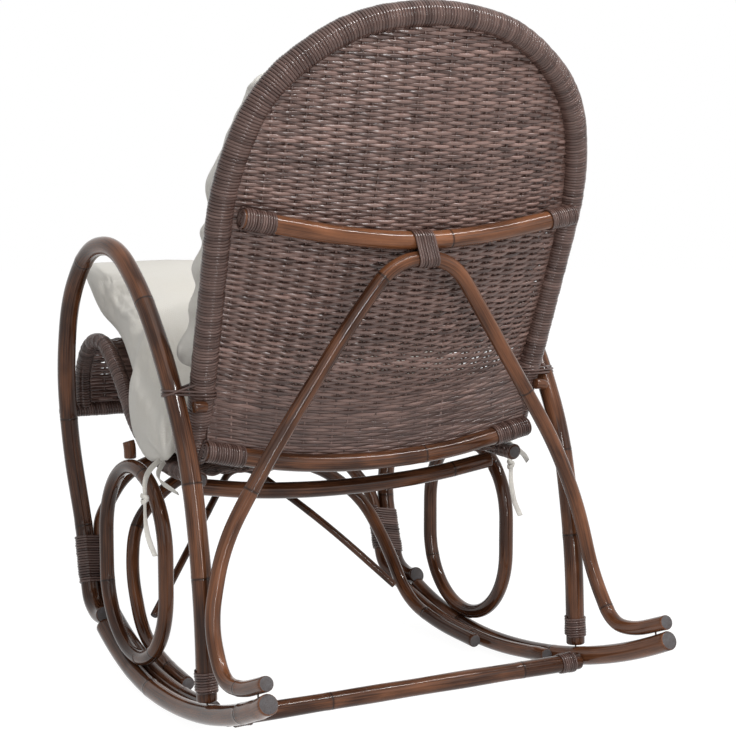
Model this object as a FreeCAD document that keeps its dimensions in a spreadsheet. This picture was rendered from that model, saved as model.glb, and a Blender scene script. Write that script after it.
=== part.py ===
"""Rattan rocking chair: bent poles, lashed joints, woven seat and back, cushions.

Millimetres, +Z up. The chair faces -Y and x = 0 is its plane of symmetry.
The origin is the floor point midway between the runners, under the lowest
point of their curve, where the chair's centre of mass comes to rest.
SIDES is +1 for the sitter's left and -1 for the right.
"""
import FreeCAD, Part
import math
import os
from FreeCAD import Placement, Rotation, Vector

SIDES = (("left", 1), ("right", -1))

doc = FreeCAD.newDocument("RockingChair")
sheet = doc.addObject("Spreadsheet::Sheet", "dims")

# Driving dimensions, one cell each
DIMENSIONS = {
    # Pole diameters
    "runner_dia": 28.0,
    "hoop_dia": 28.0,
    "arch_dia": 21.0,
    "ring_dia": 22.0,
    "brace_dia": 21.0,
    "bar_dia": 26.0,
    "rear_rail_dia": 24.0,
    "crossbar_dia": 25.0,
    "stay_dia": 12.0,
    "rim_core_dia": 32.0,
    "rail_core_dia": 20.0,
    "front_rail_dia": 20.0,
    "apron_core_dia": 18.0,
    "post_dia": 18.0,
    "peg_dia": 16.0,
    # Cane, pins and fits
    "wrap_wall": 3.0,
    "seat_weave_thick": 5.0,
    "back_weave_thick": 7.0,
    "stake_pitch": 22.5,
    "strand_dia": 3.2,
    "strand_gap": 0.7,
    "joint_gap": 0.4,
    "nail_dia": 2.5,
    "nail_length": 24.0,
    "dowel_dia": 10.0,
    "dowel_length": 70.0,
    # Runners
    "runner_front_radius": 595.0,
    "runner_rear_radius": 971.0,
    "runner_front": -227.0,
    "runner_rear": 408.0,
    "side_half": 293.0,
    "toe_slope": 0.05,
    # Arm hoops
    "arm_height": 650.0,
    "arm_flare": 13.0,
    "hoop_front": -333.0,
    "leg_foot": 201.0,
    # Rings under the seat
    "ring_centre": -81.0,
    "ring_width": 228.0,
    # Arches, brace and crossbar
    "arch_rear": 165.0,
    "arch_top": 300.0,
    "seat_arch_rear": 11.0,
    "crossbar_place": 229.0,
    "brace_reach": 402.0,
    # Seat
    "post_gap": 5.0,
    "seat_rear_height": 333.0,
    "seat_front_height": 500.0,
    "seat_rear": 95.0,
    "scroll_gap": 3.0,
    "apron_height": 381.0,
    # Back
    "back_base_depth": 130.0,
    "back_base_height": 497.0,
    "back_recline": 19.5,
    "rim_gap": 5.0,
    "rim_draw": 10.0,
    "back_length": 499.0,
    "back_bulge_across": 1100.0,
    "back_bulge_along": 2000.0,
    "back_bulge_height": 160.0,
    "upper_bar_height": 224.0,
    "lower_bar_rise": 44.0,
    "bar_bow": 26.0,
    # Cushions and their ties
    "seat_cushion_thick": 112.0,
    "seat_cushion_overhang": 10.0,
    "back_cushion_thick": 72.0,
    "back_cushion_inset": 14.0,
    "tie_dia": 5.0,
}


def fill_sheet():
    """Write every driving dimension to its own cell under its own alias."""
    for row, (alias, value) in enumerate(DIMENSIONS.items(), start=1):
        sheet.set("A%d" % row, alias)
        sheet.set("B%d" % row, str(value))
        sheet.setAlias("B%d" % row, alias)
    doc.recompute()


def size(alias):
    """Read one driving dimension back from the sheet."""
    return float(sheet.get(alias))


def side_x(y):
    """Half width of the side frames, which toe out towards the rear."""
    return size("side_half") + size("toe_slope") * y


fill_sheet()
nodes = {}
dowels = []
nails = []
GAP = size("joint_gap")
STRAND = size("strand_dia")
X_WAY = Vector(1, 0, 0)
Z_WAY = Vector(0, 0, 1)

# Outside radii of the wrapped poles
RAIL_R = size("rail_core_dia") / 2 + size("wrap_wall")
RIM_R = size("rim_core_dia") / 2 + size("wrap_wall")
APRON_R = size("apron_core_dia") / 2 + size("wrap_wall")

# Side frames, and the seat and back set between them
FRONT = size("hoop_front")
LEG_FOOT = size("leg_foot")
ARM_TOP = size("arm_height")
ARM_HALF = size("side_half") + size("arm_flare")
SEAT_HALF = side_x(size("ring_centre")) - size("post_dia") / 2 - size("post_gap") - RAIL_R
SEAT_REAR = size("seat_rear")
SEAT_FRONT = FRONT - size("hoop_dia") / 2 - APRON_R - size("scroll_gap")
PANEL_HALF = SEAT_HALF - RAIL_R - GAP
BACK_HALF = ARM_HALF - size("hoop_dia") / 2 - RIM_R - size("rim_gap") + size("rim_draw")
ARCH_INSET = (size("runner_dia") + size("arch_dia")) / 2 + GAP
FORK_STEP = (size("hoop_dia") + size("arch_dia")) / 2 + GAP

# Bends take this share of the shorter straight run beside them
BEND_SHARE = 0.45
SHARP_SHARE = 0.2
LEAST_TURN = math.radians(0.3)


# Paths

def bent_wire(points, shares=None):
    """Straight runs joined by tangent arcs, each arc taking a share of its shorter run."""
    count = len(points)
    shares = shares or {}
    edges = []
    reached = points[0]
    for index in range(1, count - 1):
        corner = points[index]
        to_corner = corner - points[index - 1]
        from_corner = points[index + 1] - corner
        turn = to_corner.getAngle(from_corner)
        if turn < LEAST_TURN:
            continue
        run = shares.get(index, BEND_SHARE) * min(to_corner.Length, from_corner.Length)
        before = to_corner.normalize()
        after = from_corner.normalize()
        inward = (after - before).normalize()
        radius = run / math.tan(turn / 2)
        middle = corner + inward * (radius / math.cos(turn / 2) - radius)
        bend = corner - before * run
        edges.append(Part.LineSegment(reached, bend).toShape())
        reached = corner + after * run
        edges.append(Part.Arc(bend, middle, reached).toShape())
    edges.append(Part.LineSegment(reached, points[-1]).toShape())
    return Part.Wire(edges)


def straight_wire(start, finish):
    """One straight run as a wire."""
    return Part.Wire([Part.LineSegment(start, finish).toShape()])


def biarc(start, start_way, end, end_way):
    """Two tangent arcs from one point and direction to another."""
    chord = end - start
    ways = start_way + end_way
    spread = 2 * (1 - start_way.dot(end_way))
    along = chord.dot(ways)
    reach = (math.sqrt(along ** 2 + spread * chord.dot(chord)) - along) / spread
    middle = (start + start_way * reach + end - end_way * reach) * 0.5
    return [tangent_arc(start, start_way, middle), tangent_arc(end, end_way * -1, middle, True)]


def tangent_arc(start, way, end, backwards=False):
    """Arc that leaves start along way and ends at end."""
    chord = end - start
    half = chord.getAngle(way) / 2
    side = (way * chord.Length - Vector(chord).normalize() * chord.dot(way)).normalize()
    middle = start + chord * 0.5 + side * (chord.Length / 2 * math.tan(half))
    if backwards:
        return Part.Arc(end, middle, start).toShape()
    return Part.Arc(start, middle, end).toShape()


def winding_wire(centre, axis, across, half_span, radius, turns):
    """Strand wound round one pole, or round two poles half_span either side of centre."""
    pitch = STRAND + size("strand_gap")
    axis = Vector(axis).normalize()
    across = (across - axis * across.dot(axis)).normalize()
    side = axis.cross(across)
    loop = 2 * math.pi * radius + 4 * half_span
    arc_rise = pitch * math.pi * radius / loop
    run_rise = pitch * 2 * half_span / loop
    slope = axis * (pitch / loop)
    height = -turns * pitch / 2
    edges = []
    for half_turn in range(2 * turns):
        sign = 1 if half_turn % 2 == 0 else -1
        way_in = (across * sign + slope).normalize()
        way_out = (across * -sign + slope).normalize()
        end_pole = centre + across * (sign * half_span)
        start = end_pole - side * (sign * radius) + axis * height
        height += arc_rise
        finish = end_pole + side * (sign * radius) + axis * height
        if half_turn == 0:
            edges.append(Part.LineSegment(start - way_in * STRAND, start).toShape())
        edges += biarc(start, way_in, finish, way_out)
        height += run_rise
        last = half_turn == 2 * turns - 1
        finish_run = finish + across * (-sign * 2 * half_span) + axis * run_rise
        if last:
            finish_run = finish + way_out * STRAND
        if last or half_span > 0:
            edges.append(Part.LineSegment(finish, finish_run).toShape())
    return Part.Wire(edges)


def print_self_gap(label, wire, turns):
    """Least clear gap between neighbouring turns of a winding, measured on points."""
    per_turn = 40
    points = wire.discretize(Number=turns * per_turn)
    least = min(
        points[i].distanceToPoint(points[j])
        for i in range(len(points))
        for j in range(i + per_turn // 2, min(i + 2 * per_turn, len(points)))
    )
    print("%s: least gap between turns %.2f mm" % (label, least - STRAND))


# Document objects

def tube(label, wire, dia_alias, extra=""):
    """Round section swept along a wire, with its radius bound to the sheet."""
    path = doc.addObject("Part::Feature", label + "_path")
    path.Shape = wire
    first = wire.OrderedEdges[0]
    way = first.tangentAt(first.FirstParameter)
    start = first.valueAt(first.FirstParameter)
    section = doc.addObject("Part::Circle", label + "_section")
    section.setExpression("Radius", "dims.%s / 2%s" % (dia_alias, extra))
    section.Placement = Placement(start, Rotation(Z_WAY, way))
    sweep = doc.addObject("Part::Sweep", label)
    sweep.Sections = [section]
    sweep.Spine = (path, ["Edge%d" % (n + 1) for n in range(len(wire.Edges))])
    sweep.Solid = True
    sweep.Frenet = False
    doc.recompute()
    return sweep


def cut(label, base, tool):
    """Base less tool, as a document object."""
    piece = doc.addObject("Part::Cut", label)
    piece.Base = base
    piece.Tool = tool
    doc.recompute()
    return piece


def group(label, members):
    """Several separate solids kept as one node."""
    compound = doc.addObject("Part::Compound", label)
    compound.Links = members
    doc.recompute()
    return compound


def pin(label, middle, way, dia_alias, length_alias):
    """Round pin centred on a point, with both sizes bound to the sheet."""
    body = doc.addObject("Part::Cylinder", label)
    body.setExpression("Radius", "dims.%s / 2" % dia_alias)
    body.setExpression("Height", "dims.%s" % length_alias)
    way = Vector(way).normalize()
    foot = middle - way * (size(length_alias) / 2)
    body.Placement = Placement(foot, Rotation(Z_WAY, way))
    doc.recompute()
    return body


def pole(label, wire, dia_alias):
    """Bent pole with the holes of the dowels and nails that reach it."""
    whole = tube(label + "_pole", wire, dia_alias)
    box = whole.Shape.BoundBox
    pins = [item for item in dowels + nails if box.intersect(item.Shape.BoundBox)]
    pins = [item for item in pins if whole.Shape.distToShape(item.Shape)[0] < GAP]
    if not pins:
        whole.Label = label
        nodes[label] = whole
        return
    nodes[label] = cut(label, whole, group(label + "_holes", pins))


def sleeve(label, wire, core, core_alias):
    """Cane wrapping round a core pole, as a plain sleeve."""
    outer = tube(label + "_outside", wire, core_alias, " + dims.wrap_wall")
    return cut(label, outer, core)


def lashing(label, windings):
    """Node of one or more windings, each (centre, axis, across, half_span, radius, turns)."""
    members = []
    for number, (centre, axis, across, half_span, radius, turns) in enumerate(windings, start=1):
        wire = winding_wire(centre, axis, across, half_span, radius, turns)
        name = "%s_%d" % (label, number)
        print_self_gap(name, wire, turns)
        members.append(tube(name, wire, "strand_dia"))
    nodes[label] = group(label, members)


# Side frames

def runner_radius(y):
    """Radius of the runner's curve, which is tighter in front of its lowest point."""
    return size("runner_front_radius" if y < 0 else "runner_rear_radius")


def runner_z(y):
    """Height of the runner's centre line."""
    radius = runner_radius(y)
    return size("runner_dia") / 2 + radius - math.sqrt(radius ** 2 - y ** 2)


def runner_tilt(y):
    """Slope of the runner at y, as an angle."""
    return math.asin(y / runner_radius(y))


def runner_top(y):
    """Height of the runner's upper edge at y."""
    return runner_z(y) + size("runner_dia") / 2 / math.cos(runner_tilt(y))


def runner_point(sign, y, inset=0.0, lift=0.0):
    """Point on a runner's centre line, moved inwards and upwards."""
    return Vector(sign * (side_x(y) - inset), y, runner_z(y) + lift)


def runner_way(sign, y):
    """Direction of a runner at y, pointing to the front."""
    tilt = runner_tilt(y)
    return Vector(-sign * size("toe_slope"), -math.cos(tilt), -math.sin(tilt)).normalize()


def winding_radius(dia_alias):
    """Centre-line radius of a strand wound on a pole."""
    return (size(dia_alias) + STRAND) / 2 + GAP


# Bends of an arm hoop after the fork: share of its depth from front leg to rear leg,
# share of the arm's height, share of the flare from the leg out to the arm
HOOP_BENDS = (
    (-0.004, 0.508, 0.55),
    (0.015, 0.695, 0.9),
    (0.079, 0.871, 1.0),
    (0.236, 0.994, 1.0),
    (0.442, 1.005, 1.0),
    (0.618, 0.908, 1.0),
    (0.779, 0.763, 1.0),
    (0.919, 0.563, 0.93),
)
FORK_RUN = 0.11 * ARM_TOP
FORK_TOP = (0.011, 0.315)
LEG_KNEE = (0.985, 0.308)


def hoop_points(sign):
    """Bends of one arm hoop, from the splice at the front round to the rear foot."""
    splice = runner_point(sign, size("runner_front"))
    depth = LEG_FOOT - FRONT
    front_x = side_x(FRONT)
    flare = ARM_HALF - front_x
    foot = runner_top(LEG_FOOT + size("hoop_dia") / 2) + 2 * GAP
    way = runner_way(sign, splice.y)
    points = [splice + way * GAP, splice + way * FORK_RUN]
    points.append(Vector(sign * front_x, FRONT + FORK_TOP[0] * depth, FORK_TOP[1] * ARM_TOP))
    for along, height, out in HOOP_BENDS:
        points.append(Vector(sign * (front_x + out * flare), FRONT + along * depth, height * ARM_TOP))
    leg_x = sign * side_x(LEG_FOOT)
    points.append(Vector(leg_x, FRONT + LEG_KNEE[0] * depth, LEG_KNEE[1] * ARM_TOP))
    points.append(Vector(leg_x, LEG_FOOT, foot))
    return points


def hoop_wire(sign):
    """Bent route of one arm hoop, leaving the runner in line with it."""
    return bent_wire(hoop_points(sign), {1: SHARP_SHARE, 2: SHARP_SHARE})


def leg_point(sign, height):
    """Centre of the hoop's rear leg at a height."""
    rear = [p for p in hoop_wire(sign).discretize(Number=600) if p.y > 0]
    return min(rear, key=lambda p: abs(p.z - height))


def build_side_frames():
    """Runners, arm hoops, the dowels in their splices and the rings."""
    for side, sign in SIDES:
        front = size("runner_front")
        rear = size("runner_rear")
        stops = [front, front / 2, 0.0, rear / 2, rear]
        spots = [runner_point(sign, y) for y in stops]
        halves = [Part.Arc(*spots[:3]), Part.Arc(*spots[2:])]
        runner_wire = Part.Wire([half.toShape() for half in halves])
        way = runner_way(sign, front)
        dowels.append(pin(side + "_splice_dowel", spots[0], way, "dowel_dia", "dowel_length"))
        build_side_nails(side, sign)
        pole(side + "_runner", runner_wire, "runner_dia")
        pole(side + "_arm_hoop", hoop_wire(sign), "hoop_dia")
        pole(side + "_ring", ring_wire(sign), "ring_dia")


def build_side_nails(side, sign):
    """Headless nails across the joints of one side frame."""
    centre = size("ring_centre")
    ring_seat = centre + math.sin(runner_tilt(centre)) * size("ring_width") / 2
    brace_seat = size("brace_reach") - size("nail_length")
    arch_seat = size("arch_rear") - size("nail_length")
    inner_face = size("runner_dia") / 2
    joints = [
        ("leg", hoop_points(sign)[-1], Z_WAY),
        ("ring", Vector(sign * side_x(centre), ring_seat, runner_top(ring_seat)), Z_WAY),
        ("brace", Vector(sign * side_x(size("brace_reach")), brace_seat, runner_top(brace_seat)), Z_WAY),
        ("crossbar", runner_point(sign, size("crossbar_place"), inner_face, CROSSBAR_DROP), X_WAY),
        ("arch", runner_point(sign, arch_seat, inner_face, ARCH_LIFT / 2), X_WAY),
    ]
    for name, middle, way in joints:
        nails.append(pin("%s_%s_nail" % (side, name), middle, way, "nail_dia", "nail_length"))


def ring_seat_height():
    """Height of the ring's lower arc centre when the ring lies in the runner's curve."""
    radius = runner_radius(size("ring_centre"))
    clear = (size("runner_dia") + size("ring_dia") + size("ring_width")) / 2 + GAP
    return size("runner_dia") / 2 + radius - math.sqrt((radius - clear) ** 2 - size("ring_centre") ** 2)


def ring_top():
    """Height of the ring's centre line at its top, just under the seat rail."""
    return rail_height(size("ring_centre")) - RAIL_R - size("ring_dia") / 2 - 4 * GAP


def ring_wire(sign):
    """Oval ring that stands on the runner and carries the seat rail."""
    centre = size("ring_centre")
    half = size("ring_width") / 2
    lower = ring_seat_height()
    high = ring_top()
    x = sign * side_x(centre)

    def spot(y, z):
        return Vector(x, y, z)

    low, upper = lower - half, high - half
    front, rear = centre - half, centre + half
    return Part.Wire([
        Part.LineSegment(spot(front, upper), spot(front, lower)).toShape(),
        Part.Arc(spot(front, lower), spot(centre, low), spot(rear, lower)).toShape(),
        Part.LineSegment(spot(rear, lower), spot(rear, upper)).toShape(),
        Part.Arc(spot(rear, upper), spot(centre, high), spot(front, upper)).toShape(),
    ])


# Arches, stay, brace and crossbar

def mirrored(points):
    """Points of one half followed by their mirror images, as one open route."""
    return points + [Vector(-p.x, p.y, p.z) for p in reversed(points)]


# Stations of the arches on the runner, as shares of the run forward to the splice
ARCH_STATIONS = (0.0, 0.337, 0.668, 0.923)
SEAT_ARCH_STATIONS = (0.0, 0.412, 0.811)
STAY_STATION = 0.84
ARCH_LIFT = 2.0
SEAT_ARCH_LIFT = 7.0
STAY_LIFT = 30.0
CROSSBAR_DROP = -6.0
# Crowns: share of the half width, distance behind the front legs, share of the arch's height
FRONT_CROWN = ((0.648, -14.0, 0.953), (0.239, -16.0, 1.0))
SEAT_CROWN = ((0.785, 90.0, 0.453), (0.706, 50.0, 0.693), (0.444, 34.0, 0.893), (0.137, 28.0, 0.953))
STAY_CROWN = ((0.41, 84.0, 0.587), (0.068, 4.0, 0.893))


def stations(rear_alias, shares):
    """Places along the runner, from a rear foot forward to the splice."""
    rear = size(rear_alias)
    return [rear + share * (size("runner_front") - rear) for share in shares]


def crown(bends):
    """Bends of an arch's crown on the left half."""
    half, top = size("side_half"), size("arch_top")
    return [Vector(out * half, FRONT + behind, up * top) for out, behind, up in bends]


def build_arches():
    """Front arch beside the runners and fork, seat arch beside it, and the thin stay."""
    low, high = hoop_points(1)[1:3]
    step = Vector(FORK_STEP, 0, 0)
    feet = [runner_point(1, y, ARCH_INSET, ARCH_LIFT) for y in stations("arch_rear", ARCH_STATIONS)]
    points = mirrored(feet + [low - step, high - step] + crown(FRONT_CROWN))
    fork = len(feet)
    last = len(points) - 1
    sharp = {index: SHARP_SHARE for index in (fork, fork + 1, last - fork - 1, last - fork)}
    pole("front_arch", bent_wire(points, sharp), "arch_dia")

    inner = ARCH_INSET + size("arch_dia") + 2 * GAP
    feet = [runner_point(1, y, inner, SEAT_ARCH_LIFT)
            for y in stations("seat_arch_rear", SEAT_ARCH_STATIONS)]
    nodes["seat_arch"] = tube("seat_arch", bent_wire(mirrored(feet + crown(SEAT_CROWN))), "arch_dia")

    stay_y = stations("seat_arch_rear", [STAY_STATION])[0]
    feet = [runner_point(1, stay_y, inner + size("arch_dia"), STAY_LIFT)]
    nodes["v_stay"] = tube("v_stay", bent_wire(mirrored(feet + crown(STAY_CROWN))), "stay_dia")


# Bends of the back brace: share of its half width, distance before its foot, share of its height
BRACE_BENDS = (
    (1.003, 125.0, 0.154),
    (0.994, 171.0, 0.257),
    (0.92, 179.0, 0.418),
    (0.751, 166.0, 0.574),
    (0.543, 162.0, 0.725),
)
BRACE_SHOULDER = (0.335, 12.0, 0.874)
BRACE_CROWN = 0.141
BRACE_FOOT_RUN = 70.0
BRACE_BEHIND = 9.0


def brace_foot_height(y):
    """Height of the brace's centre line where it lies on the runner."""
    return runner_top(y) + size("brace_dia") / 2 + 4 * GAP


def brace_step():
    """Step from the middle of the upper bar to the brace's crown below and behind it."""
    return Vector(0, BRACE_BEHIND, -(size("bar_dia") + size("brace_dia")) / 2 - GAP)


def build_brace():
    """Back brace, one pole bent to an inverted U, with its feet on the runner ends."""
    reach = size("brace_reach")
    wide = side_x(reach)
    apex = upper_bar_centre() + brace_step()
    toe = reach - BRACE_FOOT_RUN
    half = [
        Vector(wide, reach, brace_foot_height(reach)),
        Vector(wide, toe, brace_foot_height(toe) + STRAND),
    ]
    half += [Vector(out * wide, reach - before, up * apex.z) for out, before, up in BRACE_BENDS]
    out, before, up = BRACE_SHOULDER
    half += [Vector(out * wide, apex.y - before, up * apex.z), apex + X_WAY * (BRACE_CROWN * wide)]
    pole("back_brace", bent_wire(mirrored(half)), "brace_dia")


def crossbar_ends():
    """Ends of the rear crossbar, butting on the runners' inner sides."""
    inset = size("runner_dia") / 2 + 3 * GAP
    return [runner_point(sign, size("crossbar_place"), inset, CROSSBAR_DROP) for sign in (1, -1)]


def build_crossbar():
    """Straight rear crossbar between the runners."""
    pole("rear_crossbar", straight_wire(*crossbar_ends()), "crossbar_dia")


# Seat

# Bends of the seat's side profile and of its front scroll: share of its depth, share of its rise
SEAT_BENDS = (
    (0.0, 0.0),
    (0.289, 0.03),
    (0.486, 0.234),
    (0.65, 0.731),
    (0.781, 1.0),
)
SCROLL_BENDS = (
    (0.923, 0.952),
    (1.0, 0.641),
)
# Share of half the crest's run that a bend beside it takes
CREST_BEND = 0.9
APRON_BEHIND = 4.0
REAR_RAIL_BEFORE = 50.0
REAR_RAIL_CLEAR = 2.5
# The rear rail bows forward and down: share of its half length, forward, down
REAR_RAIL_BOW = ((1.0, 0.0, 0.0), (0.604, 6.0, 16.0), (0.201, 10.0, 23.0))
FRONT_RAIL_BEHIND = 74.0
FRONT_RAIL_CLEAR = 8.0
POST_BEFORE = 14.0


def seat_profile():
    """Bends of the seat's side profile, from the rear corner over the front scroll."""
    low = size("seat_rear_height")
    rise = size("seat_front_height") - low
    depth = SEAT_FRONT - SEAT_REAR
    bends = [(SEAT_REAR + along * depth, low + up * rise) for along, up in SEAT_BENDS + SCROLL_BENDS]
    return bends + [(SEAT_FRONT + APRON_BEHIND, size("apron_height") + APRON_R + 2 * GAP)]


def profile_points(x=0.0):
    """Bends of the whole seat profile in the plane at x."""
    return [Vector(x, y, z) for y, z in seat_profile()]


def seat_wire():
    """Profile of the woven seat, from the rear rail to the crest of the front scroll."""
    points = profile_points()[:len(SEAT_BENDS)]
    rear = SEAT_REAR - REAR_RAIL_BEFORE + size("rear_rail_dia") / 2
    share = (rear - points[0].y) / (points[1].y - points[0].y)
    to_crest = crest_middle() - points[-1]
    front = points[-1] + to_crest * (1 - GAP / to_crest.Length)
    route = [points[0] + (points[1] - points[0]) * share] + points[1:] + [front]
    return bent_wire(route, {len(SEAT_BENDS) - 1: CREST_BEND})


def apron_wire():
    """Profile of the woven apron, from the crest of the front scroll down to the apron rail."""
    return bent_wire([crest_middle()] + profile_points()[len(SEAT_BENDS):], {1: CREST_BEND})


def crest_middle():
    """Middle of the scroll's crest, where the woven seat and apron meet."""
    before, after = profile_points()[len(SEAT_BENDS) - 1:len(SEAT_BENDS) + 1]
    return (before + after) * 0.5


def rail_height(y):
    """Height of the seat rail's centre line at y, behind the scroll."""
    wire = bent_wire(profile_points()[:len(SEAT_BENDS)])
    probe = straight_wire(Vector(0, y, 0), Vector(0, y, ARM_TOP))
    return wire.distToShape(probe)[1][0][0].z


def build_seat():
    """Wrapped side rails, bare cross rails and the woven seat and apron."""
    for side, sign in SIDES:
        wire = bent_wire(profile_points(sign * SEAT_HALF))
        core = tube(side + "_seat_rail", wire, "rail_core_dia")
        nodes[side + "_seat_rail"] = core
        nodes[side + "_seat_rail_wrap"] = sleeve(side + "_seat_rail_wrap", wire, core, "rail_core_dia")
    build_panel("seat_weave", seat_wire())
    build_panel("apron_weave", apron_wire())

    drop = size("seat_weave_thick") / 2 + size("rear_rail_dia") / 2 + REAR_RAIL_CLEAR
    low = size("seat_rear_height") - drop
    rear = [Vector(out * PANEL_HALF, SEAT_REAR - REAR_RAIL_BEFORE - forward, low - down)
            for out, forward, down in REAR_RAIL_BOW]
    nodes["seat_rear_rail"] = tube("seat_rear_rail", bent_wire(mirrored(rear)), "rear_rail_dia")

    clear = size("seat_weave_thick") + size("front_rail_dia") / 2 + FRONT_RAIL_CLEAR
    under = Vector(0, SEAT_FRONT + FRONT_RAIL_BEHIND, size("seat_front_height") - clear)
    front = straight_wire(under + X_WAY * PANEL_HALF, under - X_WAY * PANEL_HALF)
    nodes["seat_front_rail"] = tube("seat_front_rail", front, "front_rail_dia")

    middle = Vector(0, SEAT_FRONT + APRON_BEHIND, size("apron_height"))
    half = X_WAY * (ARM_HALF - 2 * size("wrap_wall"))
    lower = straight_wire(middle + half, middle - half)
    core = tube("apron_rail", lower, "apron_core_dia")
    nodes["apron_rail"] = core
    nodes["apron_rail_wrap"] = sleeve("apron_rail_wrap", lower, core, "apron_core_dia")

    for side, sign in SIDES:
        build_ring_post(side, sign)


def build_panel(label, wire):
    """Woven panel: a flat strip section swept along its profile."""
    half_thick = size("seat_weave_thick") / 2
    first = wire.OrderedEdges[0]
    start = first.valueAt(first.FirstParameter)
    way = first.tangentAt(first.FirstParameter)
    up = X_WAY.cross(way)
    corners = [
        start + X_WAY * (sx * PANEL_HALF) + up * (sz * half_thick)
        for sx, sz in ((1, 1), (-1, 1), (-1, -1), (1, -1), (1, 1))
    ]
    path = doc.addObject("Part::Feature", label + "_path")
    path.Shape = wire
    section = doc.addObject("Part::Feature", label + "_section")
    section.Shape = Part.makePolygon(corners)
    sweep = doc.addObject("Part::Sweep", label)
    sweep.Sections = [section]
    sweep.Spine = (path, ["Edge%d" % (n + 1) for n in range(len(wire.Edges))])
    sweep.Solid = True
    sweep.Frenet = False
    doc.recompute()
    nodes[label] = sweep


def build_ring_post(side, sign):
    """Short bare pole from the ring's top up beside the seat rail."""
    centre = size("ring_centre")
    y = centre - POST_BEFORE
    half = size("ring_width") / 2
    edge = max(0.0, POST_BEFORE - size("post_dia") / 2)
    foot = ring_top() - half + math.sqrt((half + size("ring_dia") / 2) ** 2 - edge ** 2) + GAP
    x = sign * side_x(centre)
    wire = straight_wire(Vector(x, y, foot), Vector(x, y, rail_height(y) + RAIL_R / 2))
    nodes[side + "_ring_post"] = tube(side + "_ring_post", wire, "post_dia")


# Back

RECLINE = math.radians(size("back_recline"))
BACK_UP = Vector(0, math.sin(RECLINE), math.cos(RECLINE))
BACK_NORMAL = Vector(0, math.cos(RECLINE), -math.sin(RECLINE))
BACK_BASE = Vector(0, size("back_base_depth"), size("back_base_height"))


def back_point(u, v, n=0.0):
    """Point of the reclined back: u across, v up the back, n behind its plane."""
    return BACK_BASE + Vector(u, 0, 0) + BACK_UP * v + BACK_NORMAL * n


# Bends of the rim in the back's plane, as shares of its length
RIM_FOOT, RIM_MIDDLE, RIM_SHOULDER, RIM_TURN = -0.088, 0.24, 0.525, 0.788
RIM_WAIST, RIM_SPREAD, RIM_TURN_INSET = 3.0, 3.0, 35.0
RIM_CROWN_INSET, RIM_CROWN_DROP, RIM_CROWN_RISE = 148.0, 19.0, 3.0
RIM_FOOT_CLEAR = 14.0
BAR_END_INSET = 16.0
SHOULDER_CLEAR = 3.0
# The lower bar bows down and a little forward: share of its half length, forward, down
LOWER_BAR_BOW = ((1.0, 0.0, 0.0), (0.52, 0.0, 26.0), (0.16, 4.0, 34.0))
# Half thickness of the woven back between its stakes and on them, as shares of its mean
RIB_VALLEY, RIB_CREST = 0.6, 1.2
WEAVE_FRONT = -10.0
WEAVE_DEEP = 120.0
WEAVE_BELOW_BAR = 26.0
TIE_RISE = 4.0
PEG_DROP = 14.0
PEG_CLEAR = 5.0
PEG_FORWARD = 8.0


def rim_outline(shrink=0.0):
    """Bends of one half of the rim in the back's plane, from its lower end to the top."""
    half = BACK_HALF - shrink
    length = size("back_length")
    top = length - shrink
    return [
        (half - size("rim_draw"), RIM_FOOT * length),
        (half - RIM_WAIST, RIM_MIDDLE * length),
        (half + RIM_SPREAD, RIM_SHOULDER * length),
        (half - RIM_TURN_INSET, RIM_TURN * length - shrink),
        (half - RIM_CROWN_INSET, top - RIM_CROWN_DROP),
        (0.0, top + RIM_CROWN_RISE),
    ]


def rim_wire(with_feet):
    """The rim's route, with the bare feet below its wrapping if asked."""
    half = [back_point(u, v) for u, v in rim_outline()[:-1]]
    top = back_point(0, rim_outline()[-1][1])
    if with_feet:
        half = rim_feet() + half[1:]
    return bent_wire(half + [top] + [Vector(-p.x, p.y, p.z) for p in reversed(half)])


def rim_feet():
    """The rim's bare foot, from the rear corner of the seat rail up to the wrapping."""
    low_u, low_v = rim_outline()[0]
    up_u, up_v = rim_outline()[1]
    lean = (up_u - low_u) / (up_v - low_v)
    foot_z = size("seat_rear_height") + RAIL_R + RIM_FOOT_CLEAR
    foot_v = (foot_z - size("back_base_height")) / math.cos(RECLINE)
    return [back_point(low_u + lean * (foot_v - low_v), foot_v)]


def upper_bar_centre():
    """Middle of the upper back bar, behind the woven panel and the brace tie."""
    depth = bulge_depth() + size("back_weave_thick") + size("bar_dia") / 2 + STRAND + 5 * GAP
    return back_point(0, size("upper_bar_height") - size("bar_bow"), depth)


def bulge_depth(u=0.0):
    """How far the woven back curves behind the rim's plane, u off its middle."""
    radius = size("back_bulge_across")
    edge = BACK_HALF - RIM_R
    return math.sqrt(radius ** 2 - u ** 2) - math.sqrt(radius ** 2 - edge ** 2)


def lower_bar_height():
    """Height of the lower bar's ends."""
    return size("seat_rear_height") + size("lower_bar_rise")


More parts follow.
